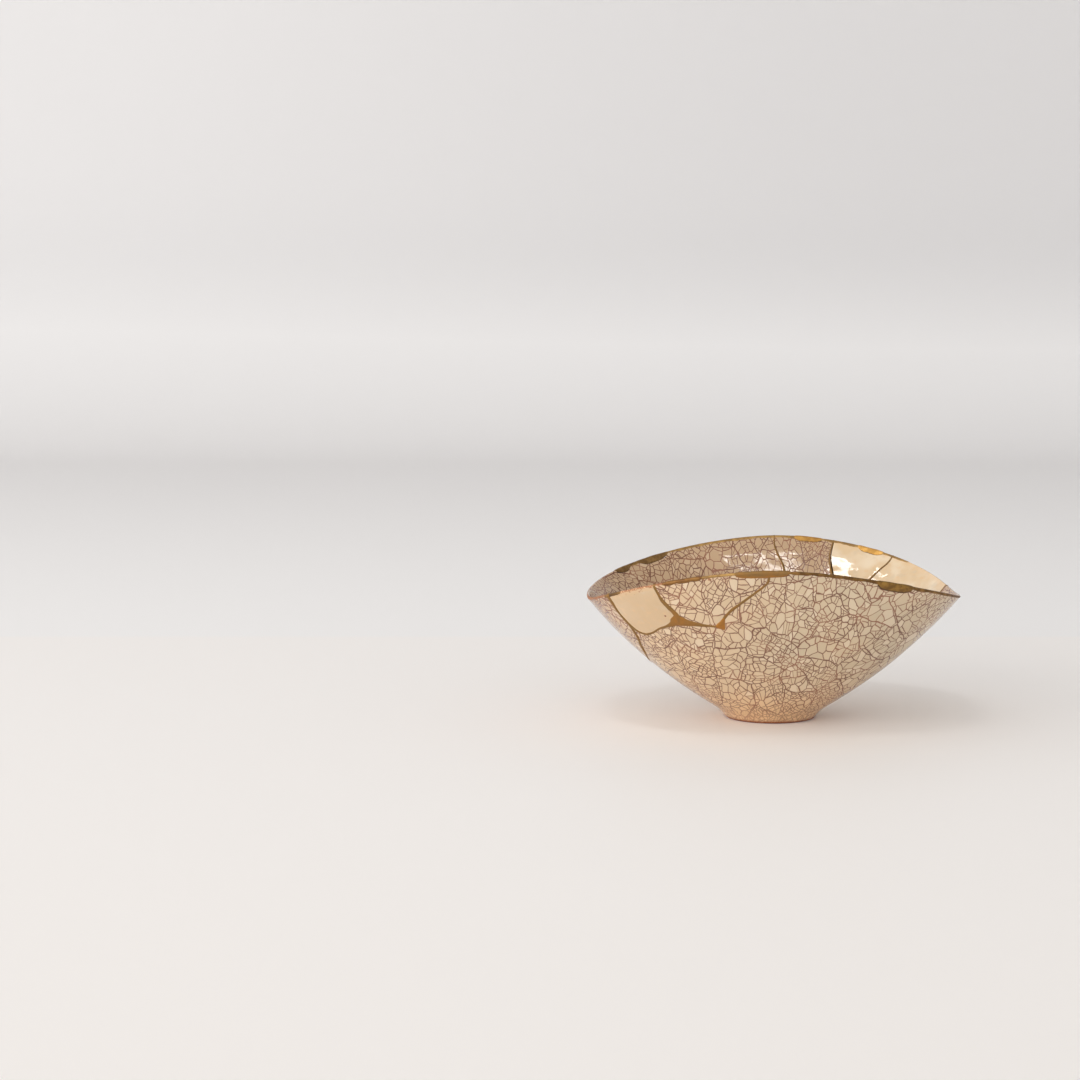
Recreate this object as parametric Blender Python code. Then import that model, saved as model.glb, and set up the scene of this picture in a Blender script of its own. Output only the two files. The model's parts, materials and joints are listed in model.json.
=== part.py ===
"""A kintsugi bowl: a thin stoneware bowl, pressed into an oval, broken, and mended with gold lacquer.

The bowl is turned round on its foot, then pressed so that its rim dips at both ends and rises at the front and back.
Break lines cut its wall into sherds. Lacquer fills the lines and the chips of the rim, a clearance away from them.
X runs along the bowl, -Y is its front and Z is up. The origin is the centre of the foot's underside.
A place on the wall is an angle, in degrees round from +X, and a share of the way from the foot to the rim.
"""

import math

import bmesh
import bpy
from mathutils import Vector

MM = 0.001

# The rim, after pressing
LENGTH = 180.0 * MM
WIDTH = 155.0 * MM
PLAN_FULLNESS = 2.51  # the power of the oval: 2 is an ellipse, and more is fuller at its corners
LEFT_END_HEIGHT = 60.1 * MM
RIGHT_END_HEIGHT = 62.4 * MM
FRONT_HEIGHT = 80.6 * MM
BACK_HEIGHT = 81.4 * MM
RIM_TWIST = 2.5 * MM  # how far the rim rises at two opposite corners and sinks at the others
RIM_ARCH = 0.6 * MM  # how far it stands fuller between the ends and the sides

# The wall
RIM_THICKNESS = 2.6 * MM
FOOT_WALL_THICKNESS = 6.0 * MM
WALL_BULGE = 3.4 * MM  # how far the wall's middle bows out from a straight line
PRESS_BLEND = 8.0 * MM  # the stretch above the foot where the pressing fades out

# The foot
FOOT_DIAMETER = 43.0 * MM
FOOT_FLARE = 3.8 * MM  # how far the foot splays out before the wall begins
FLARE_HEIGHT = 4.5 * MM
FOOT_RING_WIDTH = 4.6 * MM
FOOT_RECESS = 3.2 * MM
FOOT_EDGE = 0.6 * MM
RECESS_CORNER = 1.4 * MM
FLOOR_THICKNESS = 5.0 * MM

# The repairs
JOINT_CLEARANCE = 0.3 * MM  # between a gold piece and the sherds beside it
CUT_MARGIN = 1.5 * MM  # how far the first cut runs past the wall's two faces
MARGIN_STEP = 0.17 * MM  # how much further each next cut runs, so that no two of their faces lie in one plane
CORNER_FULLNESS = 1.12  # a corner's width, as a share of its widest seam's
THIN_SEAM = 1.0 * MM
SEAM = 1.3 * MM
WEB = 5.0 * MM  # where the front seam widens into a web
WEB_END = 3.8 * MM

# Fineness
SEGMENTS = 72
WALL_STEPS = 7
RIM_STEPS = 4
FLOOR_STEPS = 3
CORNER_SIDES = 8
SEAM_STEP = 8.0 * MM
CHIP_STEP = 4.0 * MM
PROBE_STEP = 0.01
SHARP_EDGE = math.radians(40)

PAST_RIM = 1.07  # share at which a cut that leaves through the rim ends

# Each break line is a smooth line through (angle, share, width)
BREAKS = {
    "ivory_left": [
        (204.0, PAST_RIM, 1.6 * SEAM),
        (204.0, 0.96, 1.3 * SEAM),
        (203.8, 0.88, SEAM),
        (204.4, 0.79, SEAM),
        (206.2, 0.73, SEAM),
        (209.5, 0.703, SEAM),
    ],
    "ivory_foot": [
        (209.5, 0.703, SEAM),
        (213.0, 0.703, SEAM),
        (217.2, 0.727, SEAM),
        (222.0, 0.739, 0.4 * WEB),
        (226.6, 0.752, WEB),
        (230.0, 0.727, 0.7 * WEB),
        (234.0, 0.707, 0.4 * WEB),
        (238.0, 0.694, SEAM),
        (241.6, 0.692, SEAM),
    ],
    "ivory_right": [
        (223.8, PAST_RIM, SEAM),
        (223.9, 0.96, SEAM),
        (224.2, 0.90, SEAM),
        (225.4, 0.85, 1.5 * SEAM),
        (226.4, 0.79, 2.0 * SEAM),
        (226.8, 0.752, 2.0 * SEAM),
    ],
    "front_branch": [
        (241.2, 0.682, WEB_END),
        (242.0, 0.705, 0.8 * WEB_END),
        (242.8, 0.735, SEAM),
        (245.2, 0.772, THIN_SEAM),
        (249.5, 0.812, THIN_SEAM),
        (254.0, 0.852, THIN_SEAM),
        (257.2, 0.895, THIN_SEAM),
        (260.0, 0.940, THIN_SEAM),
        (260.6, 0.985, THIN_SEAM),
        (260.8, PAST_RIM, THIN_SEAM),
    ],
    "left_round": [
        (204.4, 0.790, SEAM),
        (202.6, 0.728, SEAM),
        (199.6, 0.660, SEAM),
        (195.0, 0.595, SEAM),
        (188.0, 0.535, SEAM),
        (180.0, 0.482, SEAM),
        (168.0, 0.430, SEAM),
        (154.0, 0.405, SEAM),
        (140.0, 0.415, SEAM),
        (126.0, 0.440, SEAM),
        (112.0, 0.446, SEAM),
        (98.0, 0.462, SEAM),
        (88.0, 0.490, SEAM),
        (79.5, 0.500, SEAM),
    ],
    "back_left": [
        (80.2, PAST_RIM, SEAM),
        (80.0, 0.950, SEAM),
        (79.2, 0.905, SEAM),
        (77.8, 0.860, SEAM),
        (76.4, 0.822, SEAM),
        (75.2, 0.770, SEAM),
        (74.6, 0.690, SEAM),
        (75.8, 0.600, SEAM),
        (78.4, 0.540, SEAM),
        (79.5, 0.500, SEAM),
    ],
    "back_foot": [
        (79.5, 0.500, SEAM),
        (72.0, 0.474, SEAM),
        (64.0, 0.470, SEAM),
        (56.0, 0.492, SEAM),
        (50.0, 0.505, SEAM),
        (44.5, 0.530, SEAM),
        (39.0, 0.572, SEAM),
        (31.0, 0.612, SEAM),
        (23.0, 0.672, SEAM),
        (15.0, 0.742, SEAM),
        (8.6, 0.812, SEAM),
        (5.0, 0.862, SEAM),
    ],
    "back_middle": [
        (58.6, PAST_RIM, SEAM),
        (58.5, 0.950, SEAM),
        (58.2, 0.890, SEAM),
        (57.0, 0.836, SEAM),
        (55.4, 0.780, SEAM),
        (54.2, 0.700, SEAM),
        (54.0, 0.620, SEAM),
        (55.0, 0.548, SEAM),
        (56.0, 0.492, SEAM),
    ],
    "back_right": [
        (37.4, PAST_RIM, THIN_SEAM),
        (37.5, 0.955, THIN_SEAM),
        (38.8, 0.892, THIN_SEAM),
        (40.4, 0.832, THIN_SEAM),
        (41.6, 0.760, THIN_SEAM),
        (41.6, 0.680, THIN_SEAM),
        (40.4, 0.620, THIN_SEAM),
        (39.0, 0.572, SEAM),
    ],
    "right_end": [
        (6.4, PAST_RIM, THIN_SEAM),
        (5.8, 0.985, THIN_SEAM),
        (4.6, 0.945, THIN_SEAM),
        (4.0, 0.905, THIN_SEAM),
        (5.0, 0.862, SEAM),
    ],
}

# Each chip of the rim: first angle, last angle and depth
CHIPS = {
    "front_left": (226.6, 239.0, 2.2 * MM),
    "front_middle": (249.5, 276.0, 2.8 * MM),
    "front_right": (297.0, 316.0, 4.4 * MM),
    "back_right": (41.0, 50.0, 3.4 * MM),
    "back_middle": (62.5, 72.5, 3.2 * MM),
    "back_left": (121.0, 143.0, 4.2 * MM),
}

# A place on each piece's outer face, by which it is found among what the cuts leave
SHERDS = {
    "bowl_body": (300.0, 0.40),
    "sherd_left": (150.0, 0.75),
    "sherd_front": (245.0, 0.88),
    "sherd_back": (67.0, 0.75),
    "ivory_sherd_front": (214.0, 0.85),
    "ivory_sherd_back": (48.0, 0.78),
    "ivory_sherd_right": (22.0, 0.85),
}
GOLD = {
    "gold_seams": (226.6, 0.752),
    "gold_fill_front_left": (232.8, 0.99),
    "gold_fill_front_right": (306.5, 0.98),
    "gold_fill_back_right": (45.5, 0.985),
    "gold_fill_back_middle": (67.5, 0.985),
    "gold_fill_back_left": (132.0, 0.98),
}

# Colour, roughness and metallic value
CRACKLE_GLAZE = ((0.62, 0.50, 0.38, 1.0), 0.22, 0.0)
IVORY_GLAZE = ((0.78, 0.66, 0.46, 1.0), 0.20, 0.0)
GOLD_LACQUER = ((0.60, 0.38, 0.10, 1.0), 0.38, 0.9)

# The round bowl that is pressed
TURNED_RADIUS = (LENGTH + WIDTH) / 4
MEAN_AXIS_HEIGHT = (LEFT_END_HEIGHT + RIGHT_END_HEIGHT + FRONT_HEIGHT + BACK_HEIGHT) / 4
TURNED_HEIGHT = MEAN_AXIS_HEIGHT + RIM_ARCH
FOOT_RADIUS = FOOT_DIAMETER / 2
WALL_FOOT = Vector((FOOT_RADIUS + FOOT_FLARE, FLARE_HEIGHT))
FLOOR_HEIGHT = FOOT_RECESS + FLOOR_THICKNESS


def rim_reach(angle):
    """How far out the pressed rim stands at an angle, in radians."""
    along = abs(math.cos(angle) / (LENGTH / 2)) ** PLAN_FULLNESS
    across = abs(math.sin(angle) / (WIDTH / 2)) ** PLAN_FULLNESS
    return (along + across) ** (-1 / PLAN_FULLNESS)


def rim_height(angle):
    """How high the pressed rim stands at an angle, in radians."""
    saddle = (FRONT_HEIGHT + BACK_HEIGHT - LEFT_END_HEIGHT - RIGHT_END_HEIGHT) / 4
    lean_right = (RIGHT_END_HEIGHT - LEFT_END_HEIGHT) / 2
    lean_back = (BACK_HEIGHT - FRONT_HEIGHT) / 2
    return (
        TURNED_HEIGHT
        - saddle * math.cos(2 * angle)
        + lean_right * math.cos(angle)
        + lean_back * math.sin(angle)
        + RIM_TWIST * math.sin(2 * angle)
        - RIM_ARCH * math.cos(4 * angle)
    )


def pull(radius):
    """How strongly the press moves a point at a radius of the turned bowl: nothing at the foot, then evenly more."""
    out = max(0.0, radius - FOOT_RADIUS)
    return out * out / (2 * PRESS_BLEND) if out < PRESS_BLEND else out - PRESS_BLEND / 2


def press(point):
    """Moves a point of the turned bowl to its place in the pressed one."""
    radius = math.hypot(point.x, point.y)
    if radius < MM / 100:
        return point.copy()
    angle = math.atan2(point.y, point.x)
    share = pull(radius) / pull(TURNED_RADIUS)
    reach = radius + share * (rim_reach(angle) - TURNED_RADIUS)
    lift = share * (rim_height(angle) - TURNED_HEIGHT)
    return Vector((reach * math.cos(angle), reach * math.sin(angle), point.z + lift))


def wall_end():
    """The turned wall's outer end, placed so that the round edge beyond it just reaches the turned radius and height."""
    chord = Vector((TURNED_RADIUS, TURNED_HEIGHT)) - WALL_FOOT
    slope = math.atan2(chord.y, chord.x)
    half = RIM_THICKNESS / 2
    out = half * (math.cos(slope) + math.sin(slope) - 1)
    down = half * (1 + math.cos(slope) - math.sin(slope))
    return Vector((TURNED_RADIUS + out, TURNED_HEIGHT - down))


def outer_wall(share):
    """(point, outward normal) of the turned wall's outer face, in the plane of radius and height."""
    chord = wall_end() - WALL_FOOT
    bow = 2 * WALL_BULGE * chord.length / (chord.x * chord.y)
    lean = bow * share * (1 - share)
    point = WALL_FOOT + Vector((chord.x * (share + lean), chord.y * (share - lean)))
    lean_rate = bow * (1 - 2 * share)
    along = Vector((chord.x * (1 + lean_rate), chord.y * (1 - lean_rate))).normalized()
    return point, Vector((along.y, -along.x))


def thickness(share):
    """The wall's thickness at a share of its height."""
    return RIM_THICKNESS + (FOOT_WALL_THICKNESS - RIM_THICKNESS) * (1 - min(share, 1.0))


def rim_edge(share):
    """The round edge over the rim, from just past the outer face to just before the inner one."""
    point, normal = outer_wall(share)
    half = thickness(share) / 2
    centre = point - normal * half
    along = Vector((-normal.y, normal.x))
    turns = [math.pi * step / RIM_STEPS for step in range(1, RIM_STEPS)]
    return [centre + half * (normal * math.cos(turn) + along * math.sin(turn)) for turn in turns]


def turned_profile():
    """The turned bowl's section, from the middle of its underside out, over the rim and in to the floor."""
    ring_inside = FOOT_RADIUS - FOOT_RING_WIDTH
    underside = [
        Vector((0.0, FOOT_RECESS)),
        Vector((ring_inside - RECESS_CORNER, FOOT_RECESS)),
        Vector((ring_inside, FOOT_RECESS - RECESS_CORNER)),
        Vector((ring_inside, FOOT_EDGE)),
        Vector((ring_inside + FOOT_EDGE, 0.0)),
        Vector((FOOT_RADIUS - FOOT_EDGE, 0.0)),
        Vector((FOOT_RADIUS, FOOT_EDGE)),
    ]
    chord = wall_end() - WALL_FOOT
    rim_share = 1 - RIM_THICKNESS / 2 / chord.length
    shares = [rim_share * step / WALL_STEPS for step in range(WALL_STEPS + 1)]
    outside = [outer_wall(share)[0] for share in shares]
    inside = []
    for share in reversed(shares[1:]):
        point, normal = outer_wall(share)
        inside.append(point - normal * thickness(share))
    last, before = inside[-1], inside[-2]
    run = (last.y - FLOOR_HEIGHT) / (before.y - last.y) * (before.x - last.x)
    bend = Vector((max(last.x - run, last.x / 3), FLOOR_HEIGHT))
    middle = Vector((0.0, FLOOR_HEIGHT))
    floor = []
    for step in range(1, FLOOR_STEPS + 1):
        part = step / FLOOR_STEPS
        floor.append(last * (1 - part) ** 2 + bend * 2 * part * (1 - part) + middle * part**2)
    return underside + outside + rim_edge(rim_share) + inside + floor


def wall_place(angle, share):
    """(point, outward normal) of the pressed wall's outer face at an angle in degrees and a share of its height."""

    def at(degrees, part):
        point = outer_wall(part)[0]
        turn = math.radians(degrees)
        return press(Vector((point.x * math.cos(turn), point.x * math.sin(turn), point.y)))

    round_step = at(angle + PROBE_STEP, share) - at(angle - PROBE_STEP, share)
    up_step = at(angle, share + PROBE_STEP) - at(angle, share - PROBE_STEP)
    return at(angle, share), round_step.cross(up_step).normalized()


def smooth_line(points, step):
    """Values read from a smooth curve through points, about a step apart along the wall."""
    ends = [points[0], *points, points[-1]]
    line = []
    for before, first, last, after in zip(ends, ends[1:], ends[2:], ends[3:]):
        length = (wall_place(*last[:2])[0] - wall_place(*first[:2])[0]).length
        count = max(1, round(length / step))
        for index in range(count):
            t = index / count
            line.append(
                tuple(
                    0.5 * (2 * b + (c - a) * t + (2 * a - 5 * b + 4 * c - d) * t**2 + (3 * b - a - 3 * c + d) * t**3)
                    for a, b, c, d in zip(before, first, last, after)
                )
            )
    return [*line, points[-1]]


def loft(mesh, rings):
    """A closed solid through rings of four points."""
    loops = [[mesh.verts.new(point) for point in ring] for ring in rings]
    for first, last in zip(loops, loops[1:]):
        for index in range(4):
            after = (index + 1) % 4
            mesh.faces.new((first[index], first[after], last[after], last[index]))
    mesh.faces.new(reversed(loops[0]))
    mesh.faces.new(loops[-1])
    bmesh.ops.recalc_face_normals(mesh, faces=mesh.faces)


def seam_solid(points, grow, margin):
    """The cut along one break line, wider by grow on each side, and margin past the wall's two faces."""
    line = smooth_line(points, SEAM_STEP)
    places = [wall_place(angle, share) for angle, share, width in line]
    rings = []
    for index, ((point, normal), (angle, share, width)) in enumerate(zip(places, line)):
        after = places[min(index + 1, len(places) - 1)][0]
        before = places[max(index - 1, 0)][0]
        side = normal.cross(after - before).normalized() * (width / 2 + grow)
        outer = point + normal * margin
        inner = point - normal * (thickness(share) + margin)
        rings.append([outer - side, outer + side, inner + side, inner - side])
    mesh = bmesh.new()
    loft(mesh, rings)
    return mesh


def chip_solid(first, last, depth, grow, margin):
    """The cut for one chip of the rim, as deep as it says at its middle and shallow at its ends."""
    length = (wall_place(last, 1.0)[0] - wall_place(first, 1.0)[0]).length
    wall_length = (wall_end() - WALL_FOOT).length
    count = max(4, round(length / CHIP_STEP))
    spread = math.degrees(grow / TURNED_RADIUS)
    rings = []
    for index in range(count + 1):
        along = 2 * index / count - 1
        angle = (first + last) / 2 + along * ((last - first) / 2 + spread)
        bite = RIM_THICKNESS / 2 + (depth - RIM_THICKNESS / 2) * math.sqrt(1 - along**4) + grow
        top, top_normal = wall_place(angle, PAST_RIM + margin / wall_length)
        low, low_normal = wall_place(angle, 1 - bite / wall_length)
        through = thickness(1 - bite / wall_length) + margin
        rings.append(
            [
                top + top_normal * margin,
                low + low_normal * margin,
                low - low_normal * through,
                top - top_normal * through,
            ]
        )
    mesh = bmesh.new()
    loft(mesh, rings)
    return mesh


def corner_solid(angle, share, width, grow, margin):
    """A round post through the wall that fills the corner where break lines meet."""
    point, normal = wall_place(angle, share)
    radius = (width / 2 + grow) * CORNER_FULLNESS
    mesh = bmesh.new()
    bmesh.ops.create_cone(
        mesh,
        cap_ends=True,
        segments=CORNER_SIDES,
        radius1=radius,
        radius2=radius,
        depth=thickness(share) + 2 * margin,
    )
    turn = normal.to_track_quat("Z", "Y").to_matrix().to_4x4()
    middle = point - normal * thickness(share) / 2
    bmesh.ops.transform(mesh, matrix=turn, verts=mesh.verts)
    bmesh.ops.translate(mesh, vec=middle, verts=mesh.verts)
    return mesh


def helper(name, mesh):
    """An object for a bmesh, which the caller cuts with or removes."""
    bmesh.ops.triangulate(mesh, faces=mesh.faces)
    data = bpy.data.meshes.new(name)
    mesh.to_mesh(data)
    mesh.free()
    made = bpy.data.objects.new(name, data)
    bpy.context.scene.collection.objects.link(made)
    return made


def combine(target, operation, others):
    """Gives target the mesh of one Boolean with the other objects, which are then removed."""
    group = bpy.data.collections.new("others")
    for other in others:
        group.objects.link(other)
    modifier = target.modifiers.new("combine", "BOOLEAN")
    modifier.operation = operation
    modifier.operand_type = "COLLECTION"
    modifier.collection = group
    bpy.context.view_layer.update()
    graph = bpy.context.evaluated_depsgraph_get()
    data = bpy.data.meshes.new_from_object(target.evaluated_get(graph))
    target.modifiers.clear()
    target.data = data
    bpy.data.collections.remove(group)
    for other in others:
        bpy.data.objects.remove(other)


def cuts(grow):
    """The solids along all breaks and chips, wider by grow all round."""
    corners = {}
    for points in BREAKS.values():
        for angle, share, width in (points[0], points[-1]):
            if share < 1:
                corners[angle, share] = max(width, corners.get((angle, share), 0.0))
    shapes = [(seam_solid, (points,)) for points in BREAKS.values()]
    shapes += [(chip_solid, chip) for chip in CHIPS.values()]
    shapes += [(corner_solid, (angle, share, width)) for (angle, share), width in corners.items()]
    return [
        helper("cut", solid(*shape, grow, CUT_MARGIN + index * MARGIN_STEP))
        for index, (solid, shape) in enumerate(shapes)
    ]


def turned_bowl():
    """The whole bowl as one closed solid, turned round and then pressed."""
    mesh = bmesh.new()
    corners = [mesh.verts.new((point.x, 0.0, point.y)) for point in turned_profile()]
    edges = [mesh.edges.new(pair) for pair in zip(corners, corners[1:])]
    bmesh.ops.spin(
        mesh,
        geom=corners + edges,
        axis=(0.0, 0.0, 1.0),
        angle=math.tau,
        steps=SEGMENTS,
        use_merge=True,
    )
    bmesh.ops.remove_doubles(mesh, verts=mesh.verts, dist=MM / 100)
    for corner in mesh.verts:
        corner.co = press(corner.co)
    bmesh.ops.recalc_face_normals(mesh, faces=mesh.faces)
    return helper("whole_bowl", mesh)


def keep_pieces(whole, places, materials):
    """Splits whole into its bodies, and names each after the place on its outer face that it is found by."""
    others = set(bpy.context.scene.objects) - {whole}
    for other in others:
        other.select_set(False)
    whole.select_set(True)
    bpy.context.view_layer.objects.active = whole
    bpy.ops.mesh.separate(type="LOOSE")
    bodies = set(bpy.context.scene.objects) - others
    for name, place in places.items():
        point, _ = wall_place(*place)
        distance = {body: (body.closest_point_on_mesh(point)[1] - point).length for body in bodies}
        piece = min(distance, key=distance.get)
        bodies.remove(piece)
        piece.name = name
        piece.data.materials.clear()
        piece.data.materials.append(materials[name])
        piece.data.shade_smooth()
        piece.data.set_sharp_from_angle(angle=SHARP_EDGE)


def finish(name, look):
    """A Principled material with a colour, a roughness and a metallic value."""
    colour, roughness, metallic = look
    material = bpy.data.materials.new(name)
    material.use_nodes = True
    shader = material.node_tree.nodes["Principled BSDF"]
    shader.inputs["Base Color"].default_value = colour
    shader.inputs["Roughness"].default_value = roughness
    shader.inputs["Metallic"].default_value = metallic
    return material


def main():
    """Clears the scene, then builds the sherds and the gold."""
    for old in list(bpy.data.objects):
        bpy.data.objects.remove(old)
    crackle = finish("crackle_glaze", CRACKLE_GLAZE)
    ivory = finish("ivory_glaze", IVORY_GLAZE)
    gold = finish("gold_lacquer", GOLD_LACQUER)
    sherd_glazes = {name: ivory if name.startswith("ivory") else crackle for name in SHERDS}

    fillings, *others = cuts(0.0)
    combine(fillings, "UNION", others)
    filled = turned_bowl()
    combine(filled, "INTERSECT", [fillings])
    keep_pieces(filled, GOLD, dict.fromkeys(GOLD, gold))

    broken = turned_bowl()
    combine(broken, "DIFFERENCE", cuts(JOINT_CLEARANCE))
    keep_pieces(broken, SHERDS, sherd_glazes)


main()
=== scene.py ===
"""The looks of a kintsugi bowl: crackle glaze, plain ivory glaze, bare clay and gold lacquer.

The bowl is a turned bowl pressed into an oval. A place on its wall is an angle, in degrees round from +X, and
a share of the way from the foot to the rim. The sherds are cut from one finely made bowl, and beads of
lacquer cover the cuts.
"""

import json
import logging
import math
from dataclasses import dataclass, replace
from enum import Enum
from typing import Any, NamedTuple

import bmesh
import bpy
from mathutils import Euler, Matrix, Vector, noise

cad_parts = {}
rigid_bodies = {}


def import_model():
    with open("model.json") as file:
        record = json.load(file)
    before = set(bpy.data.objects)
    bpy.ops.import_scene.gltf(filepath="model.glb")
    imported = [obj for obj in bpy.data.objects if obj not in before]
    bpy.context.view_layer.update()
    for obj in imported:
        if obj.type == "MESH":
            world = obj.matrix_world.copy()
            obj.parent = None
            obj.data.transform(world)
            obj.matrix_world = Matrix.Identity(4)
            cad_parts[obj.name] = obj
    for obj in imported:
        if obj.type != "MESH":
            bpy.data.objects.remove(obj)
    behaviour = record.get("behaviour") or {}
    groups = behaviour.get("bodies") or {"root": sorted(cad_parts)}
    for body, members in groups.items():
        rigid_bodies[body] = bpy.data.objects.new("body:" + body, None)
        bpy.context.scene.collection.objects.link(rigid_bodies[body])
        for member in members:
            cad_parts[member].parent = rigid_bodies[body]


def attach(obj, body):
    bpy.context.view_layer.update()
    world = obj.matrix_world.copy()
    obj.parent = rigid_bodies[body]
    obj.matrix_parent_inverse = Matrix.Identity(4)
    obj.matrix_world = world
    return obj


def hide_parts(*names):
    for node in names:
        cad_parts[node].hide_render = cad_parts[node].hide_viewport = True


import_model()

LOG = logging.getLogger("kintsugi_bowl")
MM = 0.001
BODY = "root"
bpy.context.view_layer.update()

WALL_UV_SCALE = 10.0  # UV units a metre, so that 100 mm of wall is one unit
WAVER_SEED = 7  # without a seed, noise_vector gives another waver in each run
MERGE_REACH = MM / 200
TURN_STEPS = 10  # small steps round in one degree
CLIMB_STEPS = 100  # small steps up in one unit of the path

# A place on a break line: its angle, its share and the width of the gold there
Place = tuple[float, float, float]
Colour = tuple[float, float, float, float]


@dataclass(frozen=True)
class PressedBowl:
    """The shape of the whole bowl before it broke.

    Its section is followed by a path: 0 to 1 up the outer face, 1 to 2 over the rim's round edge, and 2 to 3
    down the inner face.
    """

    length: float = 180.0 * MM
    width: float = 155.0 * MM
    fullness: float = 2.51
    left_end: float = 60.1 * MM
    right_end: float = 62.4 * MM
    front: float = 80.6 * MM
    back: float = 81.4 * MM
    twist: float = 2.5 * MM
    arch: float = 0.6 * MM
    rim_thickness: float = 2.6 * MM
    lip_thickness: float = 1.5 * MM
    lip_start: float = 0.90
    foot_wall_thickness: float = 6.0 * MM
    bulge: float = 3.4 * MM
    press_blend: float = 8.0 * MM
    foot_radius: float = 21.5 * MM
    foot_flare: float = 3.8 * MM
    flare_height: float = 4.5 * MM
    foot_ring_width: float = 4.6 * MM
    foot_ring_slope: float = 0.2 * MM
    foot_recess: float = 3.2 * MM
    foot_roundings: tuple[float, ...] = (1.6 * MM, 0.9 * MM, 0.7 * MM, 2.2 * MM)
    wall_start: float = 0.045
    floor_thickness: float = 5.0 * MM
    waver: float = 0.22 * MM
    waver_size: float = 34.0 * MM
    segments: int = 288
    wall_steps: int = 42
    rim_steps: int = 8
    floor_steps: int = 12
    corner_steps: int = 4

    @property
    def turned_radius(self) -> float:
        """The round bowl's rim radius."""
        return (self.length + self.width) / 4

    @property
    def turned_height(self) -> float:
        """The round bowl's height."""
        return (self.left_end + self.right_end + self.front + self.back) / 4 + self.arch

    @property
    def wall_foot(self) -> Vector:
        """Where the wall begins, as a radius and a height."""
        return Vector((self.foot_radius + self.foot_flare, self.flare_height))

    @property
    def wall_end(self) -> Vector:
        """Where the straight line through the wall ends, as a radius and a height."""
        chord = Vector((self.turned_radius, self.turned_height)) - self.wall_foot
        slope = math.atan2(chord.y, chord.x)
        half = self.lip_thickness / 2
        out = half * (math.cos(slope) + math.sin(slope) - 1)
        down = half * (1 + math.cos(slope) - math.sin(slope))
        return Vector((self.turned_radius + out, self.turned_height - down))

    @property
    def wall_length(self) -> float:
        """The wall's length from the foot to the rim."""
        return (self.wall_end - self.wall_foot).length

    @property
    def rim_share(self) -> float:
        """The share at which the rim's round edge begins."""
        return 1 - self.lip_thickness / 2 / self.wall_length

    def rim_reach(self, angle: float) -> float:
        """How far out the pressed rim stands at an angle, in radians."""
        along = abs(math.cos(angle) / (self.length / 2)) ** self.fullness
        across = abs(math.sin(angle) / (self.width / 2)) ** self.fullness
        return (along + across) ** (-1 / self.fullness)

    def rim_height(self, angle: float) -> float:
        """How high the pressed rim stands at an angle, in radians."""
        saddle = (self.front + self.back - self.left_end - self.right_end) / 4
        lean_right = (self.right_end - self.left_end) / 2 * math.cos(angle)
        lean_back = (self.back - self.front) / 2 * math.sin(angle)
        corners = self.twist * math.sin(2 * angle) - self.arch * math.cos(4 * angle)
        wave = corners - saddle * math.cos(2 * angle)
        return self.turned_height + wave + lean_right + lean_back

    def pull(self, radius: float) -> float:
        """How strongly the press moves a point at a radius of the turned bowl."""
        out = max(0.0, radius - self.foot_radius)
        return out * out / (2 * self.press_blend) if out < self.press_blend else out - self.press_blend / 2

    def press(self, point: Vector) -> Vector:
        """Moves a point of the turned bowl to its place in the pressed one, a little out of true.

        Args:
            point: A point of the turned bowl.

        Returns:
            The same point of the pressed bowl.
        """
        radius = math.hypot(point.x, point.y)
        if radius < MM / 100:
            return point.copy()
        angle = math.atan2(point.y, point.x)
        share = self.pull(radius) / self.pull(self.turned_radius)
        reach = radius + share * (self.rim_reach(angle) - self.turned_radius)
        lift = share * (self.rim_height(angle) - self.turned_height)
        pressed = Vector((reach * math.cos(angle), reach * math.sin(angle), point.z + lift))
        return pressed + noise.noise_vector(pressed / self.waver_size) * self.waver * share

    def outer_wall(self, share: float) -> tuple[Vector, Vector]:
        """The turned wall's outer face at a share.

        Args:
            share: The share of the way from the foot to the rim.

        Returns:
            The point and its outward normal, both as a radius and a height.
        """
        chord = self.wall_end - self.wall_foot
        bow = 2 * self.bulge * chord.length / (chord.x * chord.y)
        lean = bow * share * (1 - share)
        point = self.wall_foot + Vector((chord.x * (share + lean), chord.y * (share - lean)))
        rate = bow * (1 - 2 * share)
        along = Vector((chord.x * (1 + rate), chord.y * (1 - rate))).normalized()
        return point, Vector((along.y, -along.x))

    def thickness(self, share: float) -> float:
        """The wall's thickness at a share, drawn in to a thin lip near the rim."""
        wall = self.rim_thickness + (self.foot_wall_thickness - self.rim_thickness) * (1 - min(share, 1.0))
        lip = min(1.0, max(0.0, (share - self.lip_start) / (self.rim_share - self.lip_start)))
        return wall + (self.lip_thickness - wall) * lip * lip * (3 - 2 * lip)

    def section(self, path: float) -> tuple[Vector, Vector]:
        """The turned section at a path.

        Args:
            path: 0 to 1 up the outer face, 1 to 2 over the rim and 2 to 3 down the inner face.

        Returns:
            The point and the normal that points out of the clay, both as a radius and a height.
        """
        if path <= 1:
            return self.outer_wall(path * self.rim_share)
        if path >= 2:
            share = (3 - path) * self.rim_share
            point, normal = self.outer_wall(share)
            return point - normal * self.thickness(share), -normal
        point, normal = self.outer_wall(self.rim_share)
        half = self.thickness(self.rim_share) / 2
        along = Vector((-normal.y, normal.x))
        turn = (path - 1) * math.pi
        spoke = normal * math.cos(turn) + along * math.sin(turn)
        return point - normal * half + spoke * half, spoke

    def place(self, angle: float, path: float, lift: float = 0.0) -> Vector:
        """A place on the pressed bowl's skin.

        Args:
            angle: Degrees round from +X.
            path: The path along the section.
            lift: How far the place stands off the skin.

        Returns:
            The place in the object's frame.
        """
        point, normal = self.section(path)
        point = point + normal * lift
        turn = math.radians(angle)
        return self.press(Vector((point.x * math.cos(turn), point.x * math.sin(turn), point.y)))

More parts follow.
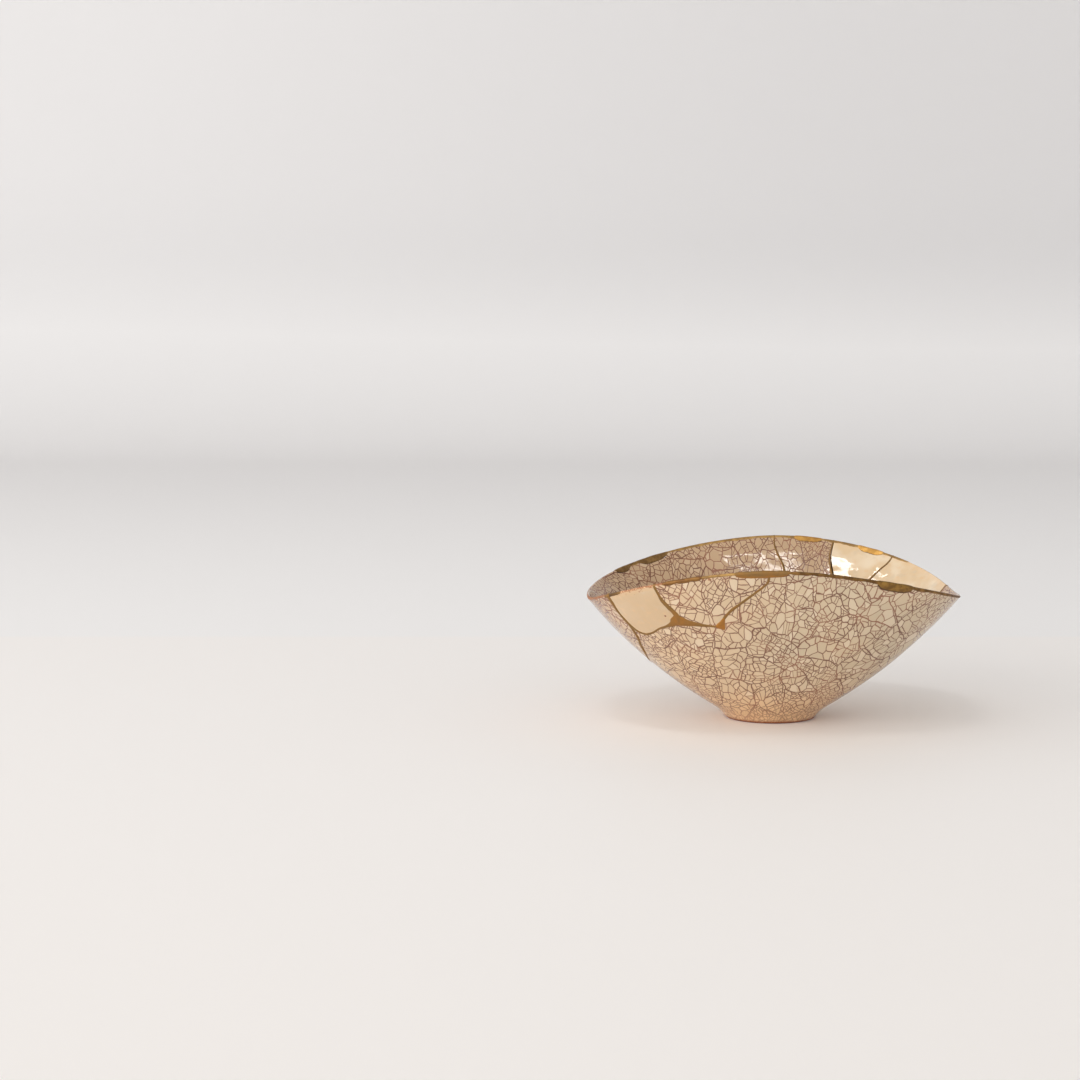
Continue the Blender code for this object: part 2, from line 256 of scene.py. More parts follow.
    def steps(self, angle: float, path: float) -> tuple[Vector, Vector, Vector]:
        """A place on the pressed bowl's skin, and the ways round and up from it.

        Args:
            angle: Degrees round from +X.
            path: The path along the section.

        Returns:
            The place, a small step round from it and a small step up to it.
        """
        here = self.place(angle, path)
        turn = self.place(angle + 1 / TURN_STEPS, path) - here
        return here, turn, here - self.place(angle, path - 1 / CLIMB_STEPS)

    def profile(self) -> list[tuple[Vector, float, float]]:
        """The whole section, from the underside's middle out, over the rim and in to the floor's middle.

        Returns:
            Each point, how far it is from the rim along the section, and its side, 0 outside and 1 inside.
        """
        ring_inside = self.foot_radius - self.foot_ring_width
        recess = self.foot_recess
        corners = [
            Vector((ring_inside, recess)),
            Vector((ring_inside + self.foot_ring_slope, 0.0)),
            Vector((self.foot_radius, 0.0)),
            self.wall_foot,
        ]
        under = [Vector((0.0, recess)), Vector((ring_inside / 2, recess))]
        ends = [under[-1], *corners, self.outer_wall(self.wall_start)[0]]
        for before, corner, after, reach in zip(ends, corners, ends[2:], self.foot_roundings):
            first = corner + (before - corner).normalized() * reach
            last = corner + (after - corner).normalized() * reach
            for step in range(self.corner_steps + 1):
                part = step / self.corner_steps
                under.append(first * (1 - part) ** 2 + corner * 2 * part * (1 - part) + last * part**2)
        span = 1 - self.wall_start
        shares = [self.wall_start + span * step / self.wall_steps for step in range(self.wall_steps + 1)]
        paths = [*shares[:-1], *(1 + step / self.rim_steps for step in range(self.rim_steps))]
        paths += [3 - share for share in reversed(shares)]
        wall = [self.section(path)[0] for path in paths]
        last, before = wall[-1], wall[-2]
        floor_height = self.foot_recess + self.floor_thickness
        run = (last.y - floor_height) / (before.y - last.y) * (before.x - last.x)
        bend = Vector((max(last.x - run, last.x / 3), floor_height))
        middle = Vector((0.0, floor_height))
        for step in range(1, self.floor_steps + 1):
            part = step / self.floor_steps
            wall.append(last * (1 - part) ** 2 + bend * 2 * part * (1 - part) + middle * part**2)
        points = under + wall
        reach = [0.0]
        for first, last in zip(points, points[1:]):
            reach.append(reach[-1] + (last - first).length)
        rim = reach[len(under) + paths.index(1.5)]
        return [(point, abs(gone - rim), float(gone > rim)) for point, gone in zip(points, reach)]

    def fired(self) -> bmesh.types.BMesh:
        """The whole bowl, finely turned and pressed, with its distance from the rim and its side in a UV map.

        Returns:
            A closed mesh.
        """
        mesh = bmesh.new()
        depth = mesh.verts.layers.float.new("depth")
        side = mesh.verts.layers.float.new("side")
        corners = []
        for point, gone, inner in self.profile():
            corner = mesh.verts.new((point.x, 0.0, point.y))
            corner[depth] = gone
            corner[side] = inner
            corners.append(corner)
        edges = [mesh.edges.new(pair) for pair in zip(corners, corners[1:])]
        bmesh.ops.spin(
            mesh, geom=corners + edges, axis=(0, 0, 1), angle=math.tau, steps=self.segments, use_merge=True
        )
        bmesh.ops.remove_doubles(mesh, verts=mesh.verts, dist=MERGE_REACH)
        wall = mesh.loops.layers.uv.new("Wall")
        for face in mesh.faces:
            for loop in face.loops:
                loop[wall].uv = (loop.vert[depth] * WALL_UV_SCALE, loop.vert[side])
        for corner in mesh.verts:
            corner.co = self.press(corner.co)
        mesh.verts.layers.float.remove(depth)
        mesh.verts.layers.float.remove(mesh.verts.layers.float["side"])
        bmesh.ops.recalc_face_normals(mesh, faces=mesh.faces)
        return mesh


PAST_RIM = 1.07
THIN_SEAM = 1.0 * MM
SEAM = 1.3 * MM
WEB = 7.0 * MM

# Each break line: angle, share and width of its gold
BREAKS: dict[str, list[Place]] = {
    "ivory_left": [
        (204.6, PAST_RIM, 2.4 * SEAM), (204.4, 0.96, 2.2 * SEAM), (203.8, 0.88, 1.7 * SEAM),
        (204.4, 0.79, 1.8 * SEAM), (206.2, 0.73, 1.5 * SEAM), (209.5, 0.703, 1.2 * SEAM),
    ],
    "ivory_foot": [
        (209.5, 0.703, 1.2 * SEAM), (213.0, 0.707, SEAM), (217.4, 0.727, SEAM),
        (220.8, 0.734, 1.3 * SEAM), (223.7, 0.744, 0.50 * WEB), (225.7, 0.760, WEB),
        (227.3, 0.753, 0.92 * WEB), (229.1, 0.737, 0.68 * WEB), (230.8, 0.728, 0.52 * WEB),
        (232.6, 0.718, 0.42 * WEB), (234.6, 0.707, 0.32 * WEB), (237.0, 0.698, 1.2 * SEAM),
        (239.1, 0.690, SEAM), (241.6, 0.692, SEAM),
    ],
    "ivory_right": [
        (223.8, PAST_RIM, 1.1 * SEAM), (224.0, 0.96, 1.2 * SEAM), (224.3, 0.90, 1.6 * SEAM),
        (225.4, 0.85, 2.0 * SEAM), (226.6, 0.80, 2.2 * SEAM), (226.8, 0.752, 2.2 * SEAM),
    ],
    "front_branch": [
        (241.2, 0.690, 1.1 * SEAM), (242.2, 0.712, 1.1 * SEAM), (243.4, 0.742, 1.2 * SEAM),
        (246.5, 0.784, 1.3 * SEAM), (249.6, 0.815, 1.25 * SEAM), (252.5, 0.846, 1.2 * SEAM),
        (255.8, 0.882, 1.0 * SEAM), (258.6, 0.916, 1.0 * SEAM), (260.4, 0.955, 1.0 * SEAM),
        (260.8, PAST_RIM, 1.2 * SEAM),
    ],
    "left_round": [
        (204.4, 0.790, 1.5 * SEAM), (202.6, 0.700, 1.6 * SEAM), (198.6, 0.630, 1.6 * SEAM),
        (194.4, 0.570, 1.5 * SEAM), (188.0, 0.520, 1.2 * SEAM), (180.0, 0.482, SEAM),
        (168.0, 0.430, SEAM), (154.0, 0.405, SEAM), (140.0, 0.415, SEAM), (126.0, 0.440, SEAM),
        (112.0, 0.446, SEAM), (98.0, 0.462, SEAM), (88.0, 0.490, SEAM), (79.5, 0.500, SEAM),
    ],
    "back_left": [
        (80.2, PAST_RIM, 0.80 * THIN_SEAM), (80.0, 0.950, 0.80 * THIN_SEAM),
        (79.2, 0.905, 0.90 * THIN_SEAM), (77.8, 0.860, THIN_SEAM), (76.4, 0.822, THIN_SEAM),
        (75.2, 0.770, THIN_SEAM), (74.6, 0.690, THIN_SEAM), (75.8, 0.600, THIN_SEAM), (78.4, 0.540, SEAM),
        (79.5, 0.500, SEAM),
    ],
    "back_foot": [
        (79.5, 0.500, SEAM), (72.0, 0.474, SEAM), (64.0, 0.470, SEAM), (56.0, 0.492, SEAM),
        (50.0, 0.505, SEAM), (44.5, 0.530, SEAM), (39.0, 0.572, SEAM), (31.0, 0.612, SEAM),
        (23.0, 0.672, SEAM), (15.0, 0.742, SEAM), (8.6, 0.812, SEAM), (5.0, 0.862, SEAM),
    ],
    "back_middle": [
        (58.6, PAST_RIM, 0.75 * THIN_SEAM), (58.5, 0.950, 0.75 * THIN_SEAM),
        (58.2, 0.890, 0.85 * THIN_SEAM), (57.0, 0.836, 1.1 * THIN_SEAM), (55.4, 0.780, 1.3 * THIN_SEAM),
        (54.2, 0.700, SEAM), (54.0, 0.620, SEAM), (55.0, 0.548, SEAM), (56.0, 0.492, SEAM),
    ],
    "back_right": [
        (37.4, PAST_RIM, 0.8 * THIN_SEAM), (37.5, 0.955, 0.8 * THIN_SEAM), (38.8, 0.892, 0.8 * THIN_SEAM),
        (40.4, 0.832, 0.9 * THIN_SEAM), (41.6, 0.760, THIN_SEAM), (41.6, 0.680, THIN_SEAM),
        (40.4, 0.620, THIN_SEAM), (39.0, 0.572, SEAM),
    ],
    "right_end": [
        (6.4, PAST_RIM, THIN_SEAM), (5.8, 0.985, THIN_SEAM), (4.6, 0.945, THIN_SEAM),
        (4.0, 0.905, THIN_SEAM), (5.0, 0.862, SEAM),
    ],
}


def catmull(values: tuple[float, float, float, float], part: float) -> float:
    """A smooth curve's value between the middle two of four values, at a part of the way."""
    a, b, c, d = values
    return 0.5 * (
        2 * b + (c - a) * part + (2 * a - 5 * b + 4 * c - d) * part**2 + (3 * b - a - 3 * c + d) * part**3
    )


class Spot(NamedTuple):
    """A point of a lacquer skin: its place, how near the skin's edge it is and how bright its gold is, which
    on a chip's fill is painted reflection.
    """

    place: Vector
    edge: float = 0.0
    glow: float = 0.0


Ring = list[Spot]


def waver(along: float, size: float, seed: float, row: float) -> float:
    """Smooth noise at a distance along a line, whose lumps are about a size long."""
    return noise.noise(Vector((along / size, seed, row)))


def loft(rings: list[Ring], into: bmesh.types.BMesh) -> None:
    """Bridges rings of points into one closed skin.

    Args:
        rings: The rings, all with the same number of spots.
        into: The mesh that receives the skin.
    """
    mesh = bmesh.new()
    edge = mesh.verts.layers.float.new("edge")
    glow = mesh.verts.layers.float.new("glow")
    loops = []
    for ring in rings:
        corners = [mesh.verts.new(spot.place) for spot in ring]
        for corner, spot in zip(corners, ring):
            corner[edge] = spot.edge
            corner[glow] = spot.glow
        loops.append([mesh.edges.new(pair) for pair in zip(corners, corners[1:] + corners[:1])])
    for first, last in zip(loops, loops[1:]):
        bmesh.ops.bridge_loops(mesh, edges=first + last)
    for end in (loops[0], loops[-1]):
        bmesh.ops.edgeloop_fill(mesh, edges=end)
    bmesh.ops.remove_doubles(mesh, verts=mesh.verts, dist=MERGE_REACH)
    bmesh.ops.recalc_face_normals(mesh, faces=mesh.faces)
    data = bpy.data.meshes.new("skin")
    mesh.to_mesh(data)
    mesh.free()
    into.from_mesh(data)
    bpy.data.meshes.remove(data)


@dataclass(frozen=True)
class BreakLine:
    """One break of the bowl: the groove between two sherds, and the bead of lacquer that fills it."""

    bowl: PressedBowl
    places: list[Place]
    seed: float
    step: float = 0.9 * MM
    cut_step: float = 2.0 * MM
    raised: float = 0.17 * MM
    sunk: float = 0.07 * MM
    lap: float = 0.20 * MM
    neck_depth: float = 0.45 * MM
    arc_points: int = 7
    rim_turns: int = 5
    wander: float = 0.05 * MM
    wander_size: float = 5.0 * MM
    lump_size: float = 3.1 * MM
    lump_share: float = 0.14
    tooth_size: float = 1.3 * MM
    tooth_share: float = 0.07
    broad: float = 1.7 * SEAM
    most_raised: float = 1.6
    broad_glow: float = 0.5
    least_neck: float = 0.2
    groove_lap: float = 0.9

    def line(self, step: float) -> list[Place]:
        """The break's places about a step apart, from its first to its last."""
        ends = [self.places[0], *self.places, self.places[-1]]
        found = []
        for before, first, last, after in zip(ends, ends[1:], ends[2:], ends[3:]):
            start, end = (self.bowl.place(angle, min(share, 1.0)) for angle, share, _ in (first, last))
            count = max(1, round((end - start).length / step))
            for index in range(count):
                part = index / count
                found.append(tuple(catmull(values, part) for values in zip(before, first, last, after)))
        return [*found, self.places[-1]]

    def spread(self, angle: float, share: float, ahead: Vector, half: float) -> tuple[float, float]:
        """How far an angle and a path change across the line over half its width.

        Args:
            angle: The place's angle.
            share: The place's share.
            ahead: The direction of the line there.
            half: Half the width of the line.

        Returns:
            The change of angle, in degrees, and of path.
        """
        _, turn, climb = self.bowl.steps(angle, min(share / self.bowl.rim_share, 1.0))
        turn *= TURN_STEPS
        climb *= CLIMB_STEPS
        side = turn.cross(climb).normalized().cross(ahead).normalized() * half
        turn_turn, turn_climb, climb_climb = turn.dot(turn), turn.dot(climb), climb.dot(climb)
        scale = turn_turn * climb_climb - turn_climb**2
        angle_step = (side.dot(turn) * climb_climb - side.dot(climb) * turn_climb) / scale
        path_step = (side.dot(climb) * turn_turn - side.dot(turn) * turn_climb) / scale
        return angle_step, path_step

    def rings(self) -> list[Ring]:
        """The bead's rings through the wall, the last of them round the rim where the line leaves it."""
        bowl = self.bowl
        line = self.line(self.step)
        if line[0][1] > 1:
            line.reverse()
        over_rim = line[-1][1] > 1
        inside = [place for place in line if place[1] < bowl.rim_share]
        stations = []
        for index, (angle, share, width) in enumerate(inside):
            after = inside[min(index + 1, len(inside) - 1)]
            before = inside[max(index - 1, 0)]
            ahead = bowl.place(after[0], after[1]) - bowl.place(before[0], before[1])
            stations.append((angle, share / bowl.rim_share, width, ahead, share))
        if over_rim:
            angle, share, width = inside[-1]
            ahead = stations[-1][3]
            for turn in range(self.rim_turns + 1):
                stations.append((angle, 1 + turn / self.rim_turns / 2, width, ahead, share))
        rings = []
        for index, (angle, path, width, ahead, share) in enumerate(stations):
            rough = waver(index * self.step, self.lump_size, self.seed, 0.0)
            fine = waver(index * self.step, self.tooth_size, self.seed, 7.0)
            half = width / 2 * (1 + self.lump_share * rough + self.tooth_share * fine)
            drift = self.wander * waver(index * self.step, self.wander_size, self.seed, 3.0) / half
            angle_step, path_step = self.spread(angle, share, ahead, half)
            if path > 1:
                path_step = 0.0
            raised = self.raised * (1 + 0.5 * rough) * min(self.most_raised, max(1.0, width / SEAM))
            glow = self.broad_glow * min(1.0, max(0.0, (width - self.broad) / SEAM))
            ring = []
            for inner in (False, True):
                sides = [2 * point / (self.arc_points - 1) - 1 for point in range(self.arc_points)]
                for across in reversed(sides) if inner else sides:
                    lift = raised * (1 - across**4) - self.sunk * across**4
                    at = path + (across + drift) * path_step
                    at = min(at, 1.0) if path <= 1 else at
                    skin = bowl.place(angle + (across + drift) * angle_step, 3 - at if inner else at, lift)
                    ring.append(Spot(skin, abs(across), glow))
                neck = max(self.least_neck, 1 - self.lap / half)
                for depth_inner in (inner, not inner):
                    across = (-neck if inner else neck) + drift
                    at = path + across * path_step
                    at = min(at, 1.0) if path <= 1 else at
                    at = 3 - at if depth_inner else at
                    ring.append(Spot(bowl.place(angle + across * angle_step, at, -self.neck_depth), 1.0))
            rings.append(ring)
        return rings

    def groove(self, margin: float) -> bmesh.types.BMesh:
        """The solid that cuts this break through the bowl, a little narrower than the gold that covers it.

        Args:
            margin: How far it runs past the wall's two faces.

        Returns:
            A closed mesh.
        """
        line = self.line(self.cut_step)
        bowl = self.bowl
        rings = []
        for index, (angle, share, width) in enumerate(line):
            after = line[min(index + 1, len(line) - 1)]
            before = line[max(index - 1, 0)]
            path = share / bowl.rim_share
            here, turn, climb = bowl.steps(angle, min(path, 1.0))
            normal = turn.cross(climb).normalized()
            point = here + climb * CLIMB_STEPS * max(0.0, path - 1.0)
            ahead = climb
            if share <= 1:
                ahead = bowl.place(after[0], min(after[1], 1.0)) - bowl.place(before[0], min(before[1], 1.0))
            side = normal.cross(ahead).normalized() * (width / 2 - self.lap * self.groove_lap)
            if line[0][1] > 1 and index == 0:
                side = -side if side.dot(turn) > 0 else side
            outer = point + normal * margin
            inner = point - normal * (bowl.thickness(share) + margin)
            rings.append([Spot(outer - side), Spot(outer + side), Spot(inner + side), Spot(inner - side)])
        mesh = bmesh.new()
        loft(rings, mesh)
        return mesh


@dataclass(frozen=True)
class RimChip:
    """A chip of the rim: the notch it leaves and the lacquer that fills it."""

    bowl: PressedBowl
    first: float
    last: float
    depth: float
    seed: float
    proud: float = 0.32 * MM
    sunk: float = 0.06 * MM
    lap: float = 0.3 * MM
    step: float = 0.8 * MM
    face_points: int = 6
    rim_points: int = 9
    ragged: float = 0.55 * MM
    wave_size: float = 4.5 * MM
    tooth_size: float = 1.5 * MM
    tooth_share: float = 0.35
    lump_size: float = 6.0 * MM
    lump_share: float = 0.6
    neck_depth: float = 0.45 * MM
    least_bite: float = 0.05 * MM
    dip: float = 0.0
    dip_at: float = 0.0
    dip_span: float = 0.3
    cut_step: float = 3.0 * MM
    cut_span: float = 0.96

    def bite(self, along: float) -> float:
        """How deep the chip is at a place along it, from -1 to 1."""
        half = self.bowl.rim_thickness / 2
        dip = self.dip * math.exp(-(((along - self.dip_at) / self.dip_span) ** 4))
        return half + (self.depth - half) * math.sqrt(max(0.0, 1 - along**4)) * (1 - dip)

    def rings(self) -> list[Ring]:
        """The fill's rings, each from the outer face over the rim to the inner face."""
        bowl = self.bowl
        span = (bowl.place(self.last, 1.0) - bowl.place(self.first, 1.0)).length
        count = max(8, round(span / self.step))
        rings = []
        for index in range(count + 1):
            along = 2 * index / count - 1
            angle = self.first + (self.last - self.first) * index / count
            reach = math.sqrt(max(0.0, 1 - abs(along) ** 5))
            lower = []
            for row in (0.0, 9.0):
                wave = waver(index * self.step, self.wave_size, self.seed, row)
                tooth = waver(index * self.step, self.tooth_size, self.seed, row + 3)
                ragged = self.ragged * (0.7 + wave + self.tooth_share * tooth)
                drop = max(self.least_bite, self.bite(along) - bowl.rim_thickness / 2 + ragged)
                lower.append(reach * drop / bowl.wall_length)
            lump = waver(index * self.step, self.lump_size, self.seed, 5.0)
            proud = self.proud * (1 + self.lump_share * lump) * (0.25 + 0.75 * reach)
            paths = [1 - lower[0] * (1 - part / self.face_points) for part in range(self.face_points)]
            paths += [1 + part / (self.rim_points - 1) for part in range(self.rim_points)]
            paths += [2 + lower[1] * (part + 1) / self.face_points for part in range(self.face_points)]
            ring = []
            for at in paths:
                near = (1 - at) / lower[0] if at < 1 else (at - 2) / lower[1] if at > 2 else 0.0
                lift = proud * (1 - near**3) - self.sunk * near**3
                # Painted reflection: the gold is dull on the rim's top and bright toward the fill's lower
                # edges, where its roll catches the light; only the seamed chip's gold follows it
                ring.append(Spot(bowl.place(angle, at, lift), near, 0.12 + 0.88 * min(1.0, near / 0.85) ** 3))
            lap = self.lap / bowl.wall_length
            for neck in (max(2.0, 2 + lower[1] - lap), min(1.0, 1 - lower[0] + lap)):
                ring.append(Spot(bowl.place(angle, neck, -self.neck_depth), 1.0))
            rings.append(ring)
        return rings

    def notch(self, margin: float) -> bmesh.types.BMesh:
        """The solid that cuts the chip out of the rim, a little smaller than the gold that fills it.

        Args:
            margin: How far it runs past the wall's faces.

        Returns:
            A closed mesh.
        """
        bowl = self.bowl
        span = (bowl.place(self.last, 1.0) - bowl.place(self.first, 1.0)).length
        count = max(4, round(span / self.cut_step))
        rings = []
        for index in range(count + 1):
            along = (2 * index / count - 1) * self.cut_span
            angle = (self.first + self.last) / 2 + along * (self.last - self.first) / 2
            low_share = 1 - (self.bite(along) - self.lap) / bowl.wall_length
            path = min(low_share / bowl.rim_share, 1.0)
            low, turn, climb = bowl.steps(angle, path)
            climb *= CLIMB_STEPS
            normal = turn.cross(climb).normalized()
            low = low + climb * max(0.0, low_share / bowl.rim_share - 1)
            top = bowl.place(angle, 1.0) + climb.normalized() * (bowl.rim_thickness + margin)
            through = bowl.thickness(low_share) + margin
            outer, inner = normal * margin, normal * through
            rings.append([Spot(top + outer), Spot(low + outer), Spot(low - inner), Spot(top - inner)])
        mesh = bmesh.new()
        loft(rings, mesh)
        return mesh


@dataclass(frozen=True)
class RimGilding:
    """A thin ragged line of gold brushed along the rim."""

    bowl: PressedBowl
    first: float
    last: float
    seed: float
    outer_reach: float
    inner_reach: float
    taper: float = 12.0
    over: float = 2.0
    proud: float = 0.07 * MM
    sunk: float = 0.02 * MM
    under: float = 0.06 * MM
    step: float = 0.9 * MM
    start_taper: float = 12.0
    wave_size: float = 7.0 * MM
    wave_share: float = 0.9
    tooth_size: float = 2.0 * MM
    tooth_share: float = 0.5
    least_reach: float = 0.04 * MM
    glow: float = 0.5
    face_points: int = 3
    rim_points: int = 7

    def rings(self) -> list[Ring]:
        """The gilding's rings, each a thin loop over the rim."""
        bowl = self.bowl
        span = math.radians(self.last - self.first) * bowl.turned_radius
        count = round(span / self.step)
        rings = []
        for index in range(count + 1):
            along = 2 * index / count - 1
            angle = self.first + (self.last - self.first) * index / count
            fade = min(1.0, (1 + along) * self.start_taper + 0.05, (1 - along) * self.taper + 0.05)
            lower = []
            for row, reach in ((0.0, self.outer_reach), (9.0, self.inner_reach)):
                wave = waver(index * self.step, self.wave_size, self.seed, row)
                tooth = waver(index * self.step, self.tooth_size, self.seed, row + 3)
                ragged = 0.85 + self.wave_share * wave + self.tooth_share * tooth
                lower.append(max(self.least_reach, reach * fade * ragged) / bowl.wall_length)
            paths = [1 - lower[0] * (1 - part / self.face_points) for part in range(self.face_points)]
            over = (self.over - 1) * (0.45 + 0.55 * fade if self.over < 2 else 1.0)
            paths += [1 + over * part / (self.rim_points - 1) for part in range(self.rim_points)]
            if self.over == 2:
                paths += [2 + lower[1] * (part + 1) / self.face_points for part in range(self.face_points)]
            ring = []
            for order, at in enumerate(paths):
                at_end = order in (0, len(paths) - 1)
                lift = -self.sunk if at_end else self.proud
                ring.append(Spot(bowl.place(angle, at, lift), float(at_end), self.glow))
            for at in reversed(paths[1:-1]):
                ring.append(Spot(bowl.place(angle, at, -self.under), 0.5))
            rings.append(ring)
        return rings


# The bright dab at the web's end: the angle and share of each corner
BRIGHT_DAB: list[tuple[float, float]] = [
    (239.4, 0.698), (241.4, 0.722), (243.5, 0.748), (243.1, 0.706),
    (242.4, 0.662), (240.8, 0.669), (239.1, 0.682),
]

# Each chip of the rim: its first and last angle, and its depth
CHIPS: dict[str, tuple[float, float, float]] = {
    "front_left": (226.6, 239.0, 1.5 * MM),
    "front_middle": (249.2, 267.6, 3.1 * MM),
    "front_right": (297.2, 310.0, 4.4 * MM),
    "back_right": (41.0, 50.0, 3.4 * MM),
    "back_middle": (62.5, 72.5, 3.2 * MM),
    "back_left": (121.0, 143.0, 4.2 * MM),
}

# Each gilded stretch of the rim: its gold, then its first and last angle, its seed, its reach outside and
# inside, and where they aren't the usual ones, how fast it fades at its end and how far it goes over the rim
GILDINGS: dict[str, tuple[str, tuple[float, ...]]] = {
    "corner": ("gilding", (202.6, 211.0, 1.9, 0.8 * MM, 0.3 * MM, 1.2)),
    "front_left": ("pale_gilding", (238.0, 250.0, 5.3, 0.15 * MM, 0.1 * MM, 12.0, 1.6)),
    "front": ("gilding", (266.5, 347.0, 3.3, 0.65 * MM, 0.2 * MM, 1.1, 1.6)),
    "back": ("pale_gilding", (31.0, 143.0, 6.1, 0.4 * MM, 1.0 * MM)),
}

# Each sherd: the angle and share of a place on it
SHERDS: dict[str, tuple[float, float]] = {
    "bowl_body": (300.0, 0.40),
    "sherd_left": (150.0, 0.75),
    "sherd_front": (245.0, 0.88),
    "sherd_back": (67.0, 0.75),
    "ivory_sherd_front": (214.0, 0.85),
    "ivory_sherd_back": (48.0, 0.78),
    "ivory_sherd_right": (22.0, 0.85),
}


class Slot(Enum):
    """The record's material slots."""

    CRACKLE = "crackle_glaze"
    IVORY = "ivory_glaze"
    GOLD = "gold_lacquer"


class Value:
    """A socket that carries a number. Arithmetic on it adds Math nodes."""

    def __init__(self, graph: "Graph", socket: bpy.types.NodeSocket) -> None:
        """Keeps the graph and the socket."""
        self.graph = graph
        self.socket = socket

    def math(self, operation: str, *others: Any, clamp: bool = False) -> "Value":
        """The result of a Math node on this value and others."""
        settings = {"operation": operation, "use_clamp": clamp}
        return self.graph.value("ShaderNodeMath", settings, dict(enumerate((self, *others))))

    def __add__(self, other: Any) -> "Value":
        """This value plus another."""
        return self.math("ADD", other)

    def __sub__(self, other: Any) -> "Value":
        """This value less another."""
        return self.math("SUBTRACT", other)

    def __rsub__(self, other: float) -> "Value":
        """A number less this value."""
        return self.graph.value("ShaderNodeMath", {"operation": "SUBTRACT"}, {0: other, 1: self})

    def __mul__(self, other: Any) -> "Value":
        """This value times another."""
        return self.math("MULTIPLY", other)

    def __truediv__(self, other: Any) -> "Value":
        """This value divided by another."""
        return self.math("DIVIDE", other)

    def __rtruediv__(self, other: float) -> "Value":
        """A number divided by this value."""
        return self.graph.value("ShaderNodeMath", {"operation": "DIVIDE"}, {0: other, 1: self})

    __radd__ = __add__
    __rmul__ = __mul__

    def least(self, other: Any) -> "Value":
        """The smaller of this value and another."""
        return self.math("MINIMUM", other)

    def most(self, other: Any) -> "Value":
        """The greater of this value and another."""
        return self.math("MAXIMUM", other)

    def above(self, other: Any) -> "Value":
        """1 where this value is greater than another, and 0 elsewhere."""
        return self.math("GREATER_THAN", other)

    def rise(self, low: Any, high: Any) -> "Value":
        """A smooth step from 0, where this value is low, to 1, where it is high."""
        settings = {"interpolation_type": "SMOOTHSTEP"}
        return self.graph.value("ShaderNodeMapRange", settings, {0: self, 1: low, 2: high})

    def fall(self, low: Any, high: Any) -> "Value":
        """A smooth step from 1, where this value is low, to 0, where it is high."""
        return 1 - self.rise(low, high)


